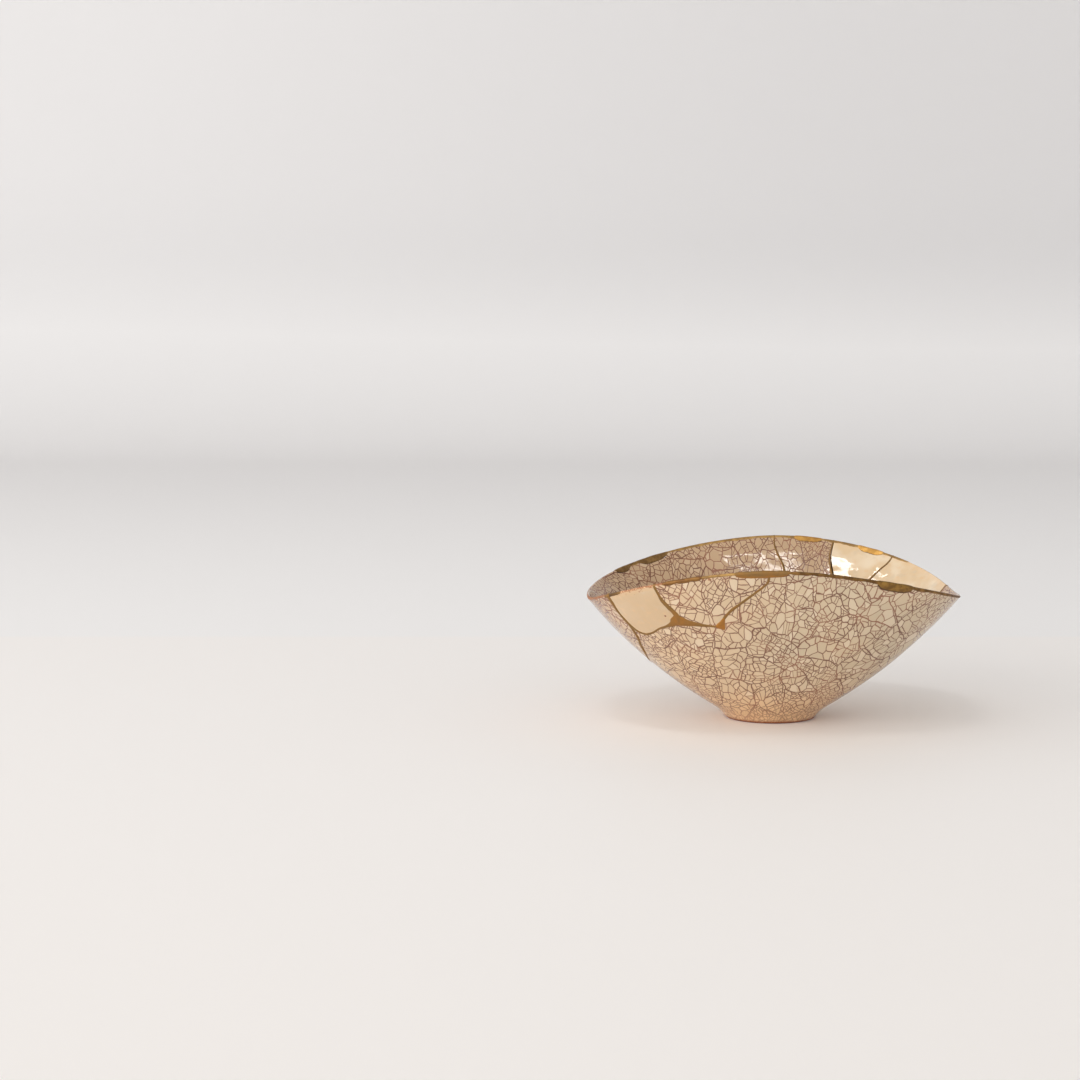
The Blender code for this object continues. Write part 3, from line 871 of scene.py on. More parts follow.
class Graph:
    """The node tree of a material or a world, and the ways to add to it."""

    def __init__(self, owner: bpy.types.Material | bpy.types.World, shader: str = "Principled BSDF") -> None:
        """Turns the owner's nodes on and finds its shader."""
        owner.use_nodes = True
        self.owner = owner
        self.tree = owner.node_tree
        self.shader = self.tree.nodes[shader]

    @classmethod
    def of_material(cls, name: str) -> "Graph":
        """The graph of a new material."""
        return cls(bpy.data.materials.new(name))

    def node(self, kind: str, settings: dict[str, Any], inputs: dict[Any, Any]) -> bpy.types.Node:
        """Adds one node.

        Args:
            kind: The node's type.
            settings: Its properties, set before its sockets.
            inputs: A number, a colour, a Value or a socket for each input, by name or place.

        Returns:
            The node.
        """
        made = self.tree.nodes.new(kind)
        for name, setting in settings.items():
            setattr(made, name, setting)
        self.feed(made, inputs)
        return made

    def feed(self, made: bpy.types.Node, inputs: dict[Any, Any]) -> None:
        """Sets or links a node's inputs."""
        for name, given in inputs.items():
            source = given.socket if isinstance(given, Value) else given
            if isinstance(source, bpy.types.NodeSocket):
                self.tree.links.new(source, made.inputs[name])
            else:
                made.inputs[name].default_value = source

    def value(self, kind: str, settings: dict[str, Any], inputs: dict[Any, Any], output: Any = 0) -> Value:
        """Adds one node and returns one of its outputs as a value."""
        return Value(self, self.node(kind, settings, inputs).outputs[output])

    def vector(self, operation: str, *vectors: Any, scale: Any = None) -> bpy.types.NodeSocket:
        """The result of a Vector Math node."""
        inputs = dict(enumerate(vectors))
        if scale is not None:
            inputs["Scale"] = scale
        return self.node("ShaderNodeVectorMath", {"operation": operation}, inputs).outputs[0]

    def blend(self, factor: Any, first: Any, second: Any, kind: str = "MIX") -> bpy.types.NodeSocket:
        """A mix of two colours."""
        settings = {"data_type": "RGBA", "blend_type": kind}
        return self.node("ShaderNodeMix", settings, {0: factor, 6: first, 7: second}).outputs[2]

    def turned(self, vector: Any, angle: Any, back: bool = False) -> bpy.types.NodeSocket:
        """A vector turned about Z by an angle in radians, or turned back by it."""
        settings = {"rotation_type": "Z_AXIS", "invert": back}
        return self.node("ShaderNodeVectorRotate", settings, {"Vector": vector, "Angle": angle}).outputs[0]

    def parts(self, vector: bpy.types.NodeSocket) -> tuple[Value, Value, Value]:
        """A vector's or a colour's three numbers."""
        made = self.node("ShaderNodeSeparateXYZ", {}, {0: vector})
        x, y, z = (Value(self, output) for output in made.outputs)
        return x, y, z

    def joined(self, x: Any, y: Any, z: Any = 0.0) -> bpy.types.NodeSocket:
        """A vector of three numbers."""
        return self.node("ShaderNodeCombineXYZ", {}, {0: x, 1: y, 2: z}).outputs[0]

    def grain(self, vector: Any, size: float, detail: float, rough: float, seed: float) -> Value:
        """Soft noise between 0 and 1.

        Args:
            vector: The place, in millimetres.
            size: How wide its lumps are, in millimetres.
            detail: How many finer layers it has.
            rough: How strong the finer layers are.
            seed: A number that moves the pattern.

        Returns:
            The noise.
        """
        moved = self.vector("ADD", vector, (seed, seed * 0.7, seed * 1.3))
        inputs = {"Vector": moved, "Scale": 1 / size, "Detail": detail, "Roughness": rough}
        return self.value("ShaderNodeTexNoise", {}, inputs, "Fac")

    def places_mm(self) -> bpy.types.NodeSocket:
        """The object's coordinates in millimetres."""
        made = self.node("ShaderNodeTexCoord", {}, {})
        return self.vector("SCALE", made.outputs["Object"], scale=1000.0)

    def wall(self) -> tuple[Value, Value]:
        """How far a place is from the rim, in millimetres, and its side: 0 outside and 1 inside."""
        u, v, _ = self.parts(self.node("ShaderNodeUVMap", {"uv_map": "Wall"}, {}).outputs[0])
        return u * (1 / WALL_UV_SCALE / MM), v

    def worn_rim(self, place: Any, from_rim: Value, side: Value) -> Value:
        """Where the glaze has drawn away from the rim: the left end and the front beside it, in short drips.

        Args:
            place: The place on the object, in millimetres.
            from_rim: How far it is from the rim.
            side: Its side.

        Returns:
            1 where the clay is bare and 0 elsewhere.
        """
        x, y, _ = self.parts(place)
        here = (x * -1.0 - y * 0.35).rise(48.0, 66.0) * (y * -1.0).rise(-14.0, 4.0)
        around = self.vector("MULTIPLY", place, (1.0, 1.0, 0.0))
        drips = self.grain(around, 1.3, 2.0, 0.6, 51.0).rise(0.5, 0.72)
        reach = here * (0.85 + drips * 2.6) * (1 - side * 0.6) + 0.12
        return (from_rim / reach).fall(0.75, 1.2)

    def relief(self, height: Value) -> bpy.types.NodeSocket:
        """The normal of a relief, whose height is in millimetres."""
        return self.node("ShaderNodeBump", {}, {"Strength": 1.0, "Distance": MM, "Height": height}).outputs[0]

    def finish(self, colour: Any, roughness: Any, others: dict[str, Any]) -> bpy.types.Material:
        """Feeds the shader.

        Args:
            colour: The base colour.
            roughness: The roughness.
            others: What else it is given, by input.

        Returns:
            The material.
        """
        self.feed(self.shader, {"Base Color": colour, "Roughness": roughness, **others})
        return self.owner


def tone(red: float, green: float, blue: float) -> Colour:
    """A colour as the eye reads it, 0 to 255, turned into light."""

    def light(level: float) -> float:
        """One channel as light."""
        share = level / 255
        return share / 12.92 if share <= 0.04045 else ((share + 0.055) / 1.055) ** 2.4

    return light(red), light(green), light(blue), 1.0


GLAZE_IOR = 1.5


@dataclass(frozen=True)
class CrackleGlaze:
    """A pale glossy glaze, crazed all over, with stained cracks."""

    cream: Colour = tone(218, 190, 155)
    grey: Colour = tone(205, 186, 157)
    white: Colour = tone(226, 209, 184)
    warm: Colour = tone(228, 184, 134)
    halo: Colour = tone(184, 132, 100)
    crack: Colour = tone(108, 65, 50)
    red_crack: Colour = tone(138, 88, 66)
    clay: Colour = tone(170, 116, 76)
    clay_dark: Colour = tone(134, 76, 44)
    # The inner face's colour: partly its greyer glaze, partly painted shade for the shade inside the bowl
    inner: Colour = tone(190, 158, 124)
    foot_line: Colour = tone(128, 62, 34)
    parent_size: float = 16.0
    least_cell: float = 3.5
    more_cell: float = 3.0
    cell_span: float = 1.1
    crack_width: float = 0.37

    def split(
        self, graph: Graph, flat: Any, size: Any, turn: Any, shift: Any, stretch: Any, random: float
    ) -> tuple[Any, ...]:
        """One level of cracks.

        Args:
            graph: The material's graph.
            flat: The glaze laid flat, in millimetres.
            size: The size of a cell.
            turn: A turn of the pattern, in radians.
            shift: A vector that moves the pattern.
            stretch: How much narrower the cells are one way.
            random: How far the cells are from squares, 0 to 1.

        Returns:
            The distance to the nearest crack in millimetres, each cell's random colour, the place from the
            cell's middle in cells, and the cell's middle on the flat glaze in millimetres.
        """
        moved = graph.vector("ADD", flat, shift)
        narrow = graph.joined(1.0, stretch, 1.0)
        narrowed = graph.vector("MULTIPLY", graph.turned(moved, turn), narrow)
        scaled = graph.vector("SCALE", narrowed, scale=1 / size)
        inputs = {"Vector": scaled, "Scale": 1.0, "Randomness": random}
        settings = {"voronoi_dimensions": "2D", "feature": "DISTANCE_TO_EDGE"}
        edge = graph.value("ShaderNodeTexVoronoi", settings, inputs)
        cell = graph.node("ShaderNodeTexVoronoi", {"voronoi_dimensions": "2D", "feature": "F1"}, inputs)
        inner = graph.vector("SUBTRACT", scaled, cell.outputs["Position"])
        widened = graph.vector("DIVIDE", graph.vector("SCALE", cell.outputs["Position"], scale=size), narrow)
        middle = graph.vector("SUBTRACT", graph.turned(widened, turn, back=True), shift)
        return edge * size, cell.outputs["Color"], inner, middle

    def lines(self, along: Value, count: Value) -> tuple[Value, Value]:
        """Evenly spaced lines across a cell.

        Args:
            along: How far a place is from the cell's middle, in cells.
            count: How many lines there are, a whole number.

        Returns:
            The distance to the nearest line, in cells, and a number for each strip between lines.
        """
        gap = self.cell_span / (count + 1)
        ends = (count - 1) * 0.5
        half = (1 - count.math("MODULO", 2.0)) * 0.5
        at = along / gap
        nearest = ((at - half).math("ROUND") + half).least(ends).most(ends * -1.0)
        apart = (at - nearest).math("ABSOLUTE") * gap + (1 - count).most(0.0) * 9.0
        return apart, nearest + (at - nearest).math("SIGN") * 0.5

    def laid_flat(self, graph: Graph, place: Any, inside: Value) -> Any:
        """The wall laid flat in millimetres and bent a little, so that the cracks aren't straight.

        Args:
            graph: The material's graph.
            place: The place on the object, in millimetres.
            inside: 1 on the inner face and 0 on the outer one, which have different cracks.

        Returns:
            A vector.
        """
        x, y, z = graph.parts(place)
        radius = (x * x + y * y).math("SQRT")
        height = (z - 6.0 - inside * 3.0).most(0.0)
        stretch = (radius * radius + height * height).math("SQRT") / radius.most(0.5)
        flat = graph.joined(x * stretch + inside * 211.0, y * stretch + inside * 87.0)
        for size, reach in ((11.0, 5.0), (2.8, 0.8)):
            made = graph.node("ShaderNodeTexNoise", {}, {"Vector": place, "Scale": 1 / size, "Detail": 1.0})
            bend = graph.vector("SUBTRACT", made.outputs["Color"], (0.5, 0.5, 0.5))
            flat = graph.vector("ADD", flat, graph.vector("SCALE", bend, scale=reach))
        return graph.vector("MULTIPLY", flat, (1.0, 1.0, 0.0))

    def material(self) -> bpy.types.Material:
        """The glaze, with bare clay at the foot and the rim's worn edge.

        Returns:
            The material.
        """
        graph = Graph.of_material("Crackle glaze")
        place = graph.places_mm()
        x, y, z = graph.parts(place)
        from_rim, side = graph.wall()
        inside = side.above(0.5)
        flat = self.laid_flat(graph, place, inside)

        # Levels of cracks, each inside the cells of the one before
        still = (0.0, 0.0, 0.0)
        edge_1, colour_1, _, middle_1 = self.split(graph, flat, self.parent_size, 0.4, still, 1.0, 1.0)
        red_1, green_1, blue_1 = graph.parts(colour_1)
        right, _, _ = graph.parts(middle_1)
        size = self.least_cell + red_1 * self.more_cell + right.rise(0.0, 60.0) * (1 - inside) * 0.8
        jump = graph.vector("SCALE", colour_1, scale=53.0)
        level = self.split(graph, flat, size, green_1 * math.tau, jump, 1 + blue_1 * 0.5, 0.76)
        edge_2, colour_2, inner, middle = level
        red_2, green_2, blue_2 = graph.parts(colour_2)

        # Lines across each cell, more of them low on the wall, at the left end and in patches
        out = graph.node("ShaderNodeVectorMath", {"operation": "LENGTH"}, {0: middle}).outputs["Value"]
        middle_x, _, _ = graph.parts(middle)
        low = Value(graph, out).fall(36.0, 56.0) * (1 - inside)
        fine = low + (middle_x * -1.0).rise(10.0, 60.0) * 0.3 * (1 - inside)
        fine = fine + graph.grain(middle, 18.0, 1.0, 0.4, 31.0).rise(0.55, 0.65) * 0.35
        quarter_turn = (red_2 * 4.0).math("FLOOR") * (math.pi / 2)
        along, across, _ = graph.parts(graph.turned(inner, quarter_turn + blue_2 * 0.5))
        curved = along + across * across * (blue_2 - 0.5) * 0.6
        edge_3, strip = self.lines(curved, (green_2 * 1.45 + fine * 1.35).math("FLOOR"))
        tag = graph.joined(strip, red_2 * 7.0, green_2 * 7.0)
        chance = graph.node("ShaderNodeTexWhiteNoise", {"noise_dimensions": "3D"}, {"Vector": tag})
        red_3, green_3, _ = graph.parts(chance.outputs["Color"])
        tilted = across + (green_3 - 0.5) * 0.3 + along * (red_3 - 0.5) * 0.3
        edge_4, row = self.lines(tilted, (red_3 * 1.35 + fine * 1.25).math("FLOOR"))
        tag = graph.joined(strip, row, red_2 * 7.0)
        piece = graph.value("ShaderNodeTexWhiteNoise", {"noise_dimensions": "3D"}, {"Vector": tag}, "Value")

        width = self.crack_width * (0.75 + graph.grain(place, 6.0, 2.0, 0.5, 11.0) * 0.5) * (1 - low * 0.2)
        nearest = (edge_3 * size).least(edge_4 * size * 1.05)
        crack_1 = edge_1.fall(width * 0.45, width * 1.10)
        crack_2 = edge_2.fall(width * 0.38, width * 0.95)
        crack_3 = nearest.fall(width * 0.32, width * 0.86) * 0.92
        crack = crack_1.most(crack_2).most(crack_3)
        near = edge_1.least(edge_2).least(nearest).fall(0.1, 0.9)

        # The glaze's own colour, with painted shade on the inner face
        tint = graph.grain(place, 30.0, 2.0, 0.5, 5.0)
        grey = x.rise(-60.0, 10.0) * z.rise(10.0, 40.0) * 0.8 + (tint - 0.5) * 1.1
        colour = graph.blend(grey.least(1.0).most(0.0), self.cream, self.grey)
        # Painted shade: the inner face is darker, for the shade inside the bowl, and partly greyer in its own
        # glaze
        colour = graph.blend(inside * 0.85, colour, self.inner)
        pale = (piece * (1 - low)).rise(0.72, 1.0) * 0.45 * (1 - inside * 0.6)
        colour = graph.blend(pale, colour, self.white)
        colour = graph.blend(z.fall(3.0, 22.0) * 0.6 * (1 - inside), colour, self.warm)
        shade = 0.94 + piece * 0.08
        colour = graph.blend(1.0, colour, graph.joined(shade, shade, shade), "MULTIPLY")
        left = (x * -1.0).rise(-10.0, 70.0)
        stain = 0.10 + graph.grain(place, 12.0, 2.0, 0.5, 17.0).rise(0.45, 0.7) * (0.12 + left * 0.22)
        colour = graph.blend(near * stain, colour, self.halo)
        left_end = (x * -1.0).rise(58.0, 84.0) * (1 - inside)
        colour = graph.blend(left_end * (0.25 + near * 0.35), colour, self.red_crack)
        red = graph.grain(place, 13.0, 2.0, 0.5, 23.0).rise(0.42, 0.66)
        crack_tint = graph.blend(red, self.crack, self.red_crack)
        strength = 0.92 - z.fall(3.5, 12.0) * 0.36 * (1 - inside)
        colour = graph.blend(crack * strength, colour, crack_tint)
        sand = graph.grain(place, 0.7, 3.0, 0.6, 3.0)
        sandy = z.fall(4.0, 12.0) * sand.rise(0.42, 0.66) * 0.28 * (1 - inside)
        colour = graph.blend(sandy, colour, self.clay_dark)

        # Bare clay at the foot, and at the left end of the rim, where it runs down in short drips
        ragged = graph.grain(place, 3.0, 3.0, 0.6, 41.0)
        foot = (z + (ragged - 0.5) * 2.0).fall(0.5, 2.0)
        bare = foot.most(graph.worn_rim(place, from_rim, side))
        clay = graph.blend(sand.rise(0.4, 0.65), self.clay, self.clay_dark)
        clay = graph.blend((z + (ragged - 0.5) * 0.6).fall(0.3, 0.9), clay, self.foot_line)
        colour = graph.blend(bare, colour, clay)

        # Slow ripples of the glaze, its cracks and the rough clay
        ripple = graph.grain(place, 13.0, 1.0, 0.4, 61.0) * 0.30
        ripple = ripple + graph.grain(place, 3.2, 1.0, 0.4, 67.0) * 0.02
        relief = ripple - crack * 0.015 + bare * (graph.grain(place, 0.9, 3.0, 0.6, 71.0) * 0.07 - 0.04)
        roughness = 0.055 + crack * 0.12 + bare * 0.5 + graph.grain(place, 2.2, 2.0, 0.5, 73.0) * 0.04
        return graph.finish(colour, roughness, {"IOR": GLAZE_IOR, "Normal": graph.relief(relief)})


@dataclass(frozen=True)
class IvoryGlaze:
    """A plain warm ivory glaze with faint blotches and one speck."""

    ivory: Colour = tone(220, 192, 154)
    pale: Colour = tone(231, 211, 182)
    blotch: Colour = tone(206, 188, 162)
    warm: Colour = tone(224, 184, 138)
    speck: Colour = tone(116, 44, 22)
    clay: Colour = tone(164, 104, 62)
    shaded: Colour = tone(202, 173, 137)
    speck_place: tuple[float, float] = (222.6, 0.802)
    speck_size: float = 0.52

    def material(self, bowl: PressedBowl) -> bpy.types.Material:
        """The glaze, with worn clay showing at the rim.

        Args:
            bowl: The bowl, on which the speck has its place.

        Returns:
            The material.
        """
        graph = Graph.of_material("Ivory glaze")
        place = graph.places_mm()
        from_rim, side = graph.wall()
        angle, share = self.speck_place
        speck = bowl.place(angle, share / bowl.rim_share) / MM
        colour = graph.blend(graph.grain(place, 14.0, 2.0, 0.5, 2.0).rise(0.4, 0.65), self.ivory, self.pale)
        _, y, _ = graph.parts(place)
        colour = graph.blend(y.fall(-30.0, 0.0) * 0.85, colour, self.shaded)
        blotches = graph.grain(place, 6.0, 2.0, 0.5, 9.0).rise(0.56, 0.72) * 0.4
        colour = graph.blend(blotches, colour, self.blotch)
        colour = graph.blend(graph.grain(place, 3.0, 3.0, 0.6, 14.0).rise(0.5, 0.75) * 0.4, colour, self.warm)
        colour = graph.blend(from_rim.fall(0.5, 4.0) * 0.45, colour, self.warm)
        apart = graph.node("ShaderNodeVectorMath", {"operation": "DISTANCE"}, {0: place, 1: tuple(speck)})
        spot = Value(graph, apart.outputs["Value"]) + graph.grain(place, 0.6, 1.0, 0.5, 5.0) * 0.3
        spot = spot.fall(self.speck_size * 0.8, self.speck_size * 1.6)
        colour = graph.blend(spot * 0.9, colour, self.speck)
        bare = graph.worn_rim(place, from_rim, side)
        clay = graph.blend(graph.grain(place, 0.8, 2.0, 0.5, 4.0).rise(0.5, 0.7), self.clay, self.warm)
        colour = graph.blend(bare, colour, clay)
        ripple = graph.grain(place, 8.0, 1.0, 0.4, 21.0) * 0.36
        ripple = ripple + graph.grain(place, 2.6, 1.0, 0.4, 22.0) * 0.02
        roughness = 0.05 + bare * 0.4 + graph.grain(place, 3.0, 2.0, 0.5, 23.0) * 0.03
        return graph.finish(colour, roughness, {"IOR": GLAZE_IOR, "Normal": graph.relief(ripple)})


@dataclass(frozen=True)
class GoldLacquer:
    """Gold powder on brown lacquer, brighter where it is thick and brown at its edges; on the seamed chip's
    fill, painted reflection makes it dull on the rim's top and bright toward its lower edges.
    """

    name: str
    bright: Colour
    dull: Colour
    edge: Colour = tone(88, 62, 36)
    metallic: float = 0.72
    roughness: float = 0.38
    rust_start: float = 0.62
    follows_glow: bool = False

    def material(self) -> bpy.types.Material:
        """The gold.

        Returns:
            The material.
        """
        graph = Graph.of_material(self.name)
        place = graph.places_mm()
        near = graph.value("ShaderNodeAttribute", {"attribute_name": "edge"}, {}, "Fac")
        patch = graph.grain(place, 4.0, 3.0, 0.6, 3.0).rise(0.38, 0.66)
        if self.follows_glow:
            # The glow is thick gold's brightness, and on the seamed chip's fill a painted reflection
            glow = graph.value("ShaderNodeAttribute", {"attribute_name": "glow"}, {}, "Fac")
            patch = (glow + (patch - 0.5) * 0.35).least(1.0).most(0.0)
        colour = graph.blend(patch, self.dull, self.bright)
        worn = graph.grain(place, 1.1, 3.0, 0.6, 8.0)
        rust = (near + (worn - 0.5) * 0.5).rise(self.rust_start, self.rust_start + 0.4)
        colour = graph.blend(rust, colour, self.edge)
        powder = graph.grain(place, 0.25, 2.0, 0.5, 12.0)
        relief = graph.grain(place, 2.2, 2.0, 0.5, 15.0) * 0.12 + powder * 0.012
        roughness = self.roughness + (1 - patch) * 0.12 + powder * 0.1
        metallic = self.metallic * (1 - rust * 0.5)
        return graph.finish(colour, roughness, {"Metallic": metallic, "Normal": graph.relief(relief)})


GOLDS: dict[str, GoldLacquer] = {
    "seams": GoldLacquer(
        "Seam gold",
        bright=tone(179, 121, 52),
        dull=tone(146, 112, 66),
        edge=tone(112, 84, 52),
        rust_start=0.76,
        follows_glow=True,
    ),
    "front_left": GoldLacquer("Front left gold", tone(150, 109, 58), tone(118, 78, 44)),
    "front_right": GoldLacquer("Front right gold", tone(160, 122, 60), tone(122, 90, 44)),
    "back_right": GoldLacquer("Back right gold", tone(232, 180, 98), tone(200, 150, 76)),
    "back_middle": GoldLacquer("Back middle gold", tone(205, 156, 82), tone(176, 128, 64)),
    "back_left": GoldLacquer("Back left gold", tone(156, 120, 70), tone(122, 90, 52)),
    "gilding": GoldLacquer("Rim gold", tone(144, 106, 56), tone(104, 74, 40)),
    "pale_gilding": GoldLacquer("Pale rim gold", tone(188, 148, 88), tone(150, 116, 70)),
}


class Bench:
    """Where meshes become pieces of the part."""

    sharp_edge: float = math.radians(40)

    @staticmethod
    def thing(name: str, mesh: bmesh.types.BMesh) -> bpy.types.Object:
        """Makes an object of a mesh, which it frees."""
        data = bpy.data.meshes.new(name)
        mesh.to_mesh(data)
        mesh.free()
        made = bpy.data.objects.new(name, data)
        bpy.context.scene.collection.objects.link(made)
        return made

    @staticmethod
    def cut(target: bpy.types.Object, cutters: list[bpy.types.Object]) -> None:
        """Cuts all cutters out of a target with one Boolean, and removes them.

        Args:
            target: The object that is cut.
            cutters: The solids that are taken away.
        """
        group = bpy.data.collections.new("cutters")
        for cutter in cutters:
            group.objects.link(cutter)
        modifier = target.modifiers.new("breaks", "BOOLEAN")
        modifier.operation = "DIFFERENCE"
        modifier.operand_type = "COLLECTION"
        modifier.collection = group
        bpy.context.view_layer.update()
        graph = bpy.context.evaluated_depsgraph_get()
        data = bpy.data.meshes.new_from_object(target.evaluated_get(graph))
        target.modifiers.clear()
        target.data = data
        bpy.data.collections.remove(group)
        for cutter in cutters:
            bpy.data.objects.remove(cutter)

    @staticmethod
    def loose(whole: bpy.types.Object) -> list[bpy.types.Object]:
        """Splits an object into its loose parts."""
        before = set(bpy.context.scene.objects) - {whole}
        for other in before:
            other.select_set(False)
        whole.select_set(True)
        bpy.context.view_layer.objects.active = whole
        bpy.ops.mesh.separate(type="LOOSE")
        return [piece for piece in bpy.context.scene.objects if piece not in before]

    @staticmethod
    def hand_over(piece: bpy.types.Object, name: str, node: str | None, slot: Slot, material: Any) -> None:
        """Names and dresses a finished piece, gives it its body and hides the CAD node that it stands for.

        Args:
            piece: The finished object.
            name: The piece's name.
            node: The CAD node that it stands for, or none.
            slot: The record's slot for its finish; not used.
            material: Its material.
        """
        piece.name = name
        piece.data.name = name
        piece.data.materials.clear()
        piece.data.materials.append(material)
        piece.data.shade_smooth()
        piece.data.set_sharp_from_angle(angle=Bench.sharp_edge)
        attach(piece, BODY)
        if node is not None:
            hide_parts(node)
        LOG.info("%s: %d faces", name, len(piece.data.polygons))


def meetings(breaks: list[BreakLine]) -> list[Place]:
    """The places where break lines meet, each with its widest line's width."""
    found: dict[tuple[float, float], float] = {}
    for line in breaks:
        for angle, share, width in (line.places[0], line.places[-1]):
            if share < 1:
                found[angle, share] = max(width, found.get((angle, share), 0.0))
    return [(angle, share, width) for (angle, share), width in found.items()]


@dataclass
class Ceramic:
    """The sherds of the bowl, glazed."""

    bowl: PressedBowl
    crackle: bpy.types.Material
    ivory: bpy.types.Material
    breaks: list[BreakLine]
    chips: list[RimChip]
    margin: float = 1.5 * MM
    margin_step: float = 0.17 * MM
    post_margin: float = 1.0 * MM
    post_share: float = 0.44
    post_sides: int = 12

    def build(self) -> None:
        """Breaks a whole bowl along its lines and hands over each sherd."""
        whole = Bench.thing("whole_bowl", self.bowl.fired())
        solids = [line.groove for line in self.breaks] + [chip.notch for chip in self.chips]
        cutters = []
        for index, solid in enumerate(solids):
            mesh = solid(self.margin + index * self.margin_step)
            bmesh.ops.triangulate(mesh, faces=mesh.faces)
            cutters.append(Bench.thing("cutter", mesh))
        cutters += self.posts(len(solids))
        Bench.cut(whole, cutters)
        bodies = Bench.loose(whole)
        LOG.info("%d bodies", len(bodies))
        for node, (angle, share) in SHERDS.items():
            point = self.bowl.place(angle, share / self.bowl.rim_share)
            distance = {body: (body.closest_point_on_mesh(point)[1] - point).length for body in bodies}
            piece = min(distance, key=distance.get)
            bodies.remove(piece)
            is_ivory = node.startswith("ivory")
            finish = (Slot.IVORY, self.ivory) if is_ivory else (Slot.CRACKLE, self.crackle)
            Bench.hand_over(piece, "glazed_" + node, node, *finish)
        for scrap in bodies:
            LOG.info("scrap with %d faces removed", len(scrap.data.polygons))
            bpy.data.objects.remove(scrap)

    def posts(self, order: int) -> list[bpy.types.Object]:
        """Round posts that clear the corners where break lines meet.

        Args:
            order: How many cutters were made before, which sets how far these run past the wall.

        Returns:
            The posts.
        """
        posts = []
        for index, (angle, share, width) in enumerate(meetings(self.breaks)):
            path = share / self.bowl.rim_share
            outer = self.bowl.place(angle, path, self.post_margin)
            inner = self.bowl.place(angle, 3 - path, self.post_margin)
            along = outer - inner
            radius = width * self.post_share
            depth = along.length + self.margin_step * (order + index)
            mesh = bmesh.new()
            bmesh.ops.create_cone(
                mesh, cap_ends=True, segments=self.post_sides, radius1=radius, radius2=radius, depth=depth
            )
            aim = along.to_track_quat("Z", "Y").to_matrix().to_4x4()
            bmesh.ops.transform(mesh, matrix=aim, verts=mesh.verts)
            bmesh.ops.translate(mesh, vec=(outer + inner) / 2, verts=mesh.verts)
            bmesh.ops.triangulate(mesh, faces=mesh.faces)
            posts.append(Bench.thing("post", mesh))
        return posts


@dataclass
class Gold:
    """The lacquer: beads along the breaks, fills of the chips and the brushed line on the rim."""

    bowl: PressedBowl
    breaks: list[BreakLine]
    chips: dict[str, RimChip]
    golds: dict[str, bpy.types.Material]
    seamed_chip: str = "front_middle"
    knot_points: int = 16
    dab_steps: int = 5
    dab_glow: float = 0.8
    dab_dome: float = 2.0

    def build(self) -> None:
        """Makes each piece of gold and hands it over."""
        knots = [self.knot(*corner) for corner in meetings(self.breaks)]
        seams = [line.rings() for line in self.breaks] + [self.chips[self.seamed_chip].rings()]
        self.lacquer("lacquer_seams", "gold_seams", "seams", *seams, *knots, self.dab(BRIGHT_DAB))
        for name, chip in self.chips.items():
            if name != self.seamed_chip:
                self.lacquer("lacquer_fill_" + name, "gold_fill_" + name, name, chip.rings())
        for name, (gold, sizes) in GILDINGS.items():
            self.lacquer("rim_gilding_" + name, None, gold, RimGilding(self.bowl, *sizes).rings())

    def lacquer(self, name: str, node: str | None, gold: str, *skins: list[Ring]) -> None:
        """Makes one piece of gold and hands it over.

        Args:
            name: The piece's name.
            node: The CAD node that it stands for, or none.
            gold: The name of its gold.
            skins: The rings of each closed skin that it is made of.
        """
        mesh = bmesh.new()
        for rings in skins:
            loft(rings, mesh)
        Bench.hand_over(Bench.thing(name, mesh), name, node, Slot.GOLD, self.golds[gold])

    def knot(self, angle: float, share: float, width: float) -> list[Ring]:
        """A small round dab of lacquer through the wall, where lines meet.

        Args:
            angle: The corner's angle.
            share: The corner's share.
            width: The width of the widest line there.

        Returns:
            The dab's rings.
        """
        path = share / self.bowl.rim_share
        here = self.bowl.place(angle, path)
        turn = (self.bowl.place(angle + 1 / TURN_STEPS, path) - here).length * TURN_STEPS
        climb = (self.bowl.place(angle, path + 1 / CLIMB_STEPS) - here).length * CLIMB_STEPS
        outline = []
        for index in range(self.knot_points):
            around = math.tau * index / self.knot_points
            out = width / 2 * (1 + 0.12 * noise.noise(Vector((math.cos(around), math.sin(around), angle))))
            outline.append((angle + out * math.cos(around) / turn, path + out * math.sin(around) / climb))
        return self.layers(outline, 0.0)

    def dab(self, corners: list[tuple[float, float]]) -> list[Ring]:
        """A bright dab of lacquer through the wall, with rounded corners.

        Args:
            corners: The angle and share of each corner, in order round it.

        Returns:
            The dab's rings.
        """
        outline = []
        around = [corners[-1], *corners, *corners[:2]]
        for before, first, last, after in zip(around, around[1:], around[2:], around[3:]):
            for step in range(self.dab_steps):
                part = step / self.dab_steps
                angle, share = (catmull(values, part) for values in zip(before, first, last, after))
                outline.append((angle, share / self.bowl.rim_share))
        return self.layers(outline, self.dab_glow, self.dab_dome)

    def layers(self, outline: list[tuple[float, float]], glow: float, dome: float = 1.0) -> list[Ring]:
        """Rings that follow an outline on both faces of the wall, domed outside and in.

        Args:
            outline: The angle and path of each of its points.
            glow: How bright its gold is.
            dome: How much more it is domed than a plain dab.

        Returns:
            The rings, from the outer face's middle to the inner face's.
        """
        middle = [sum(values) / len(outline) for values in zip(*outline)]
        # Each step: its reach, how far it stands off the skin in millimetres, and how near the edge it is
        steps = [(0.15, 0.26, 0.0), (0.6, 0.22, 0.3), (0.9, 0.08, 0.8), (1.0, -0.06, 1.0), (0.85, -0.5, 1.0)]
        rings = []
        for inner in (False, True):
            for reach, lift, near in reversed(steps) if inner else steps:
                ring = []
                for angle, path in outline:
                    spot = middle[0] + reach * (angle - middle[0])
                    at = middle[1] + reach * (path - middle[1])
                    raised = lift * MM * (dome if lift > 0 else 1.0)
                    ring.append(Spot(self.bowl.place(spot, 3 - at if inner else at, raised), near, glow))
                rings.append(ring)
        return rings


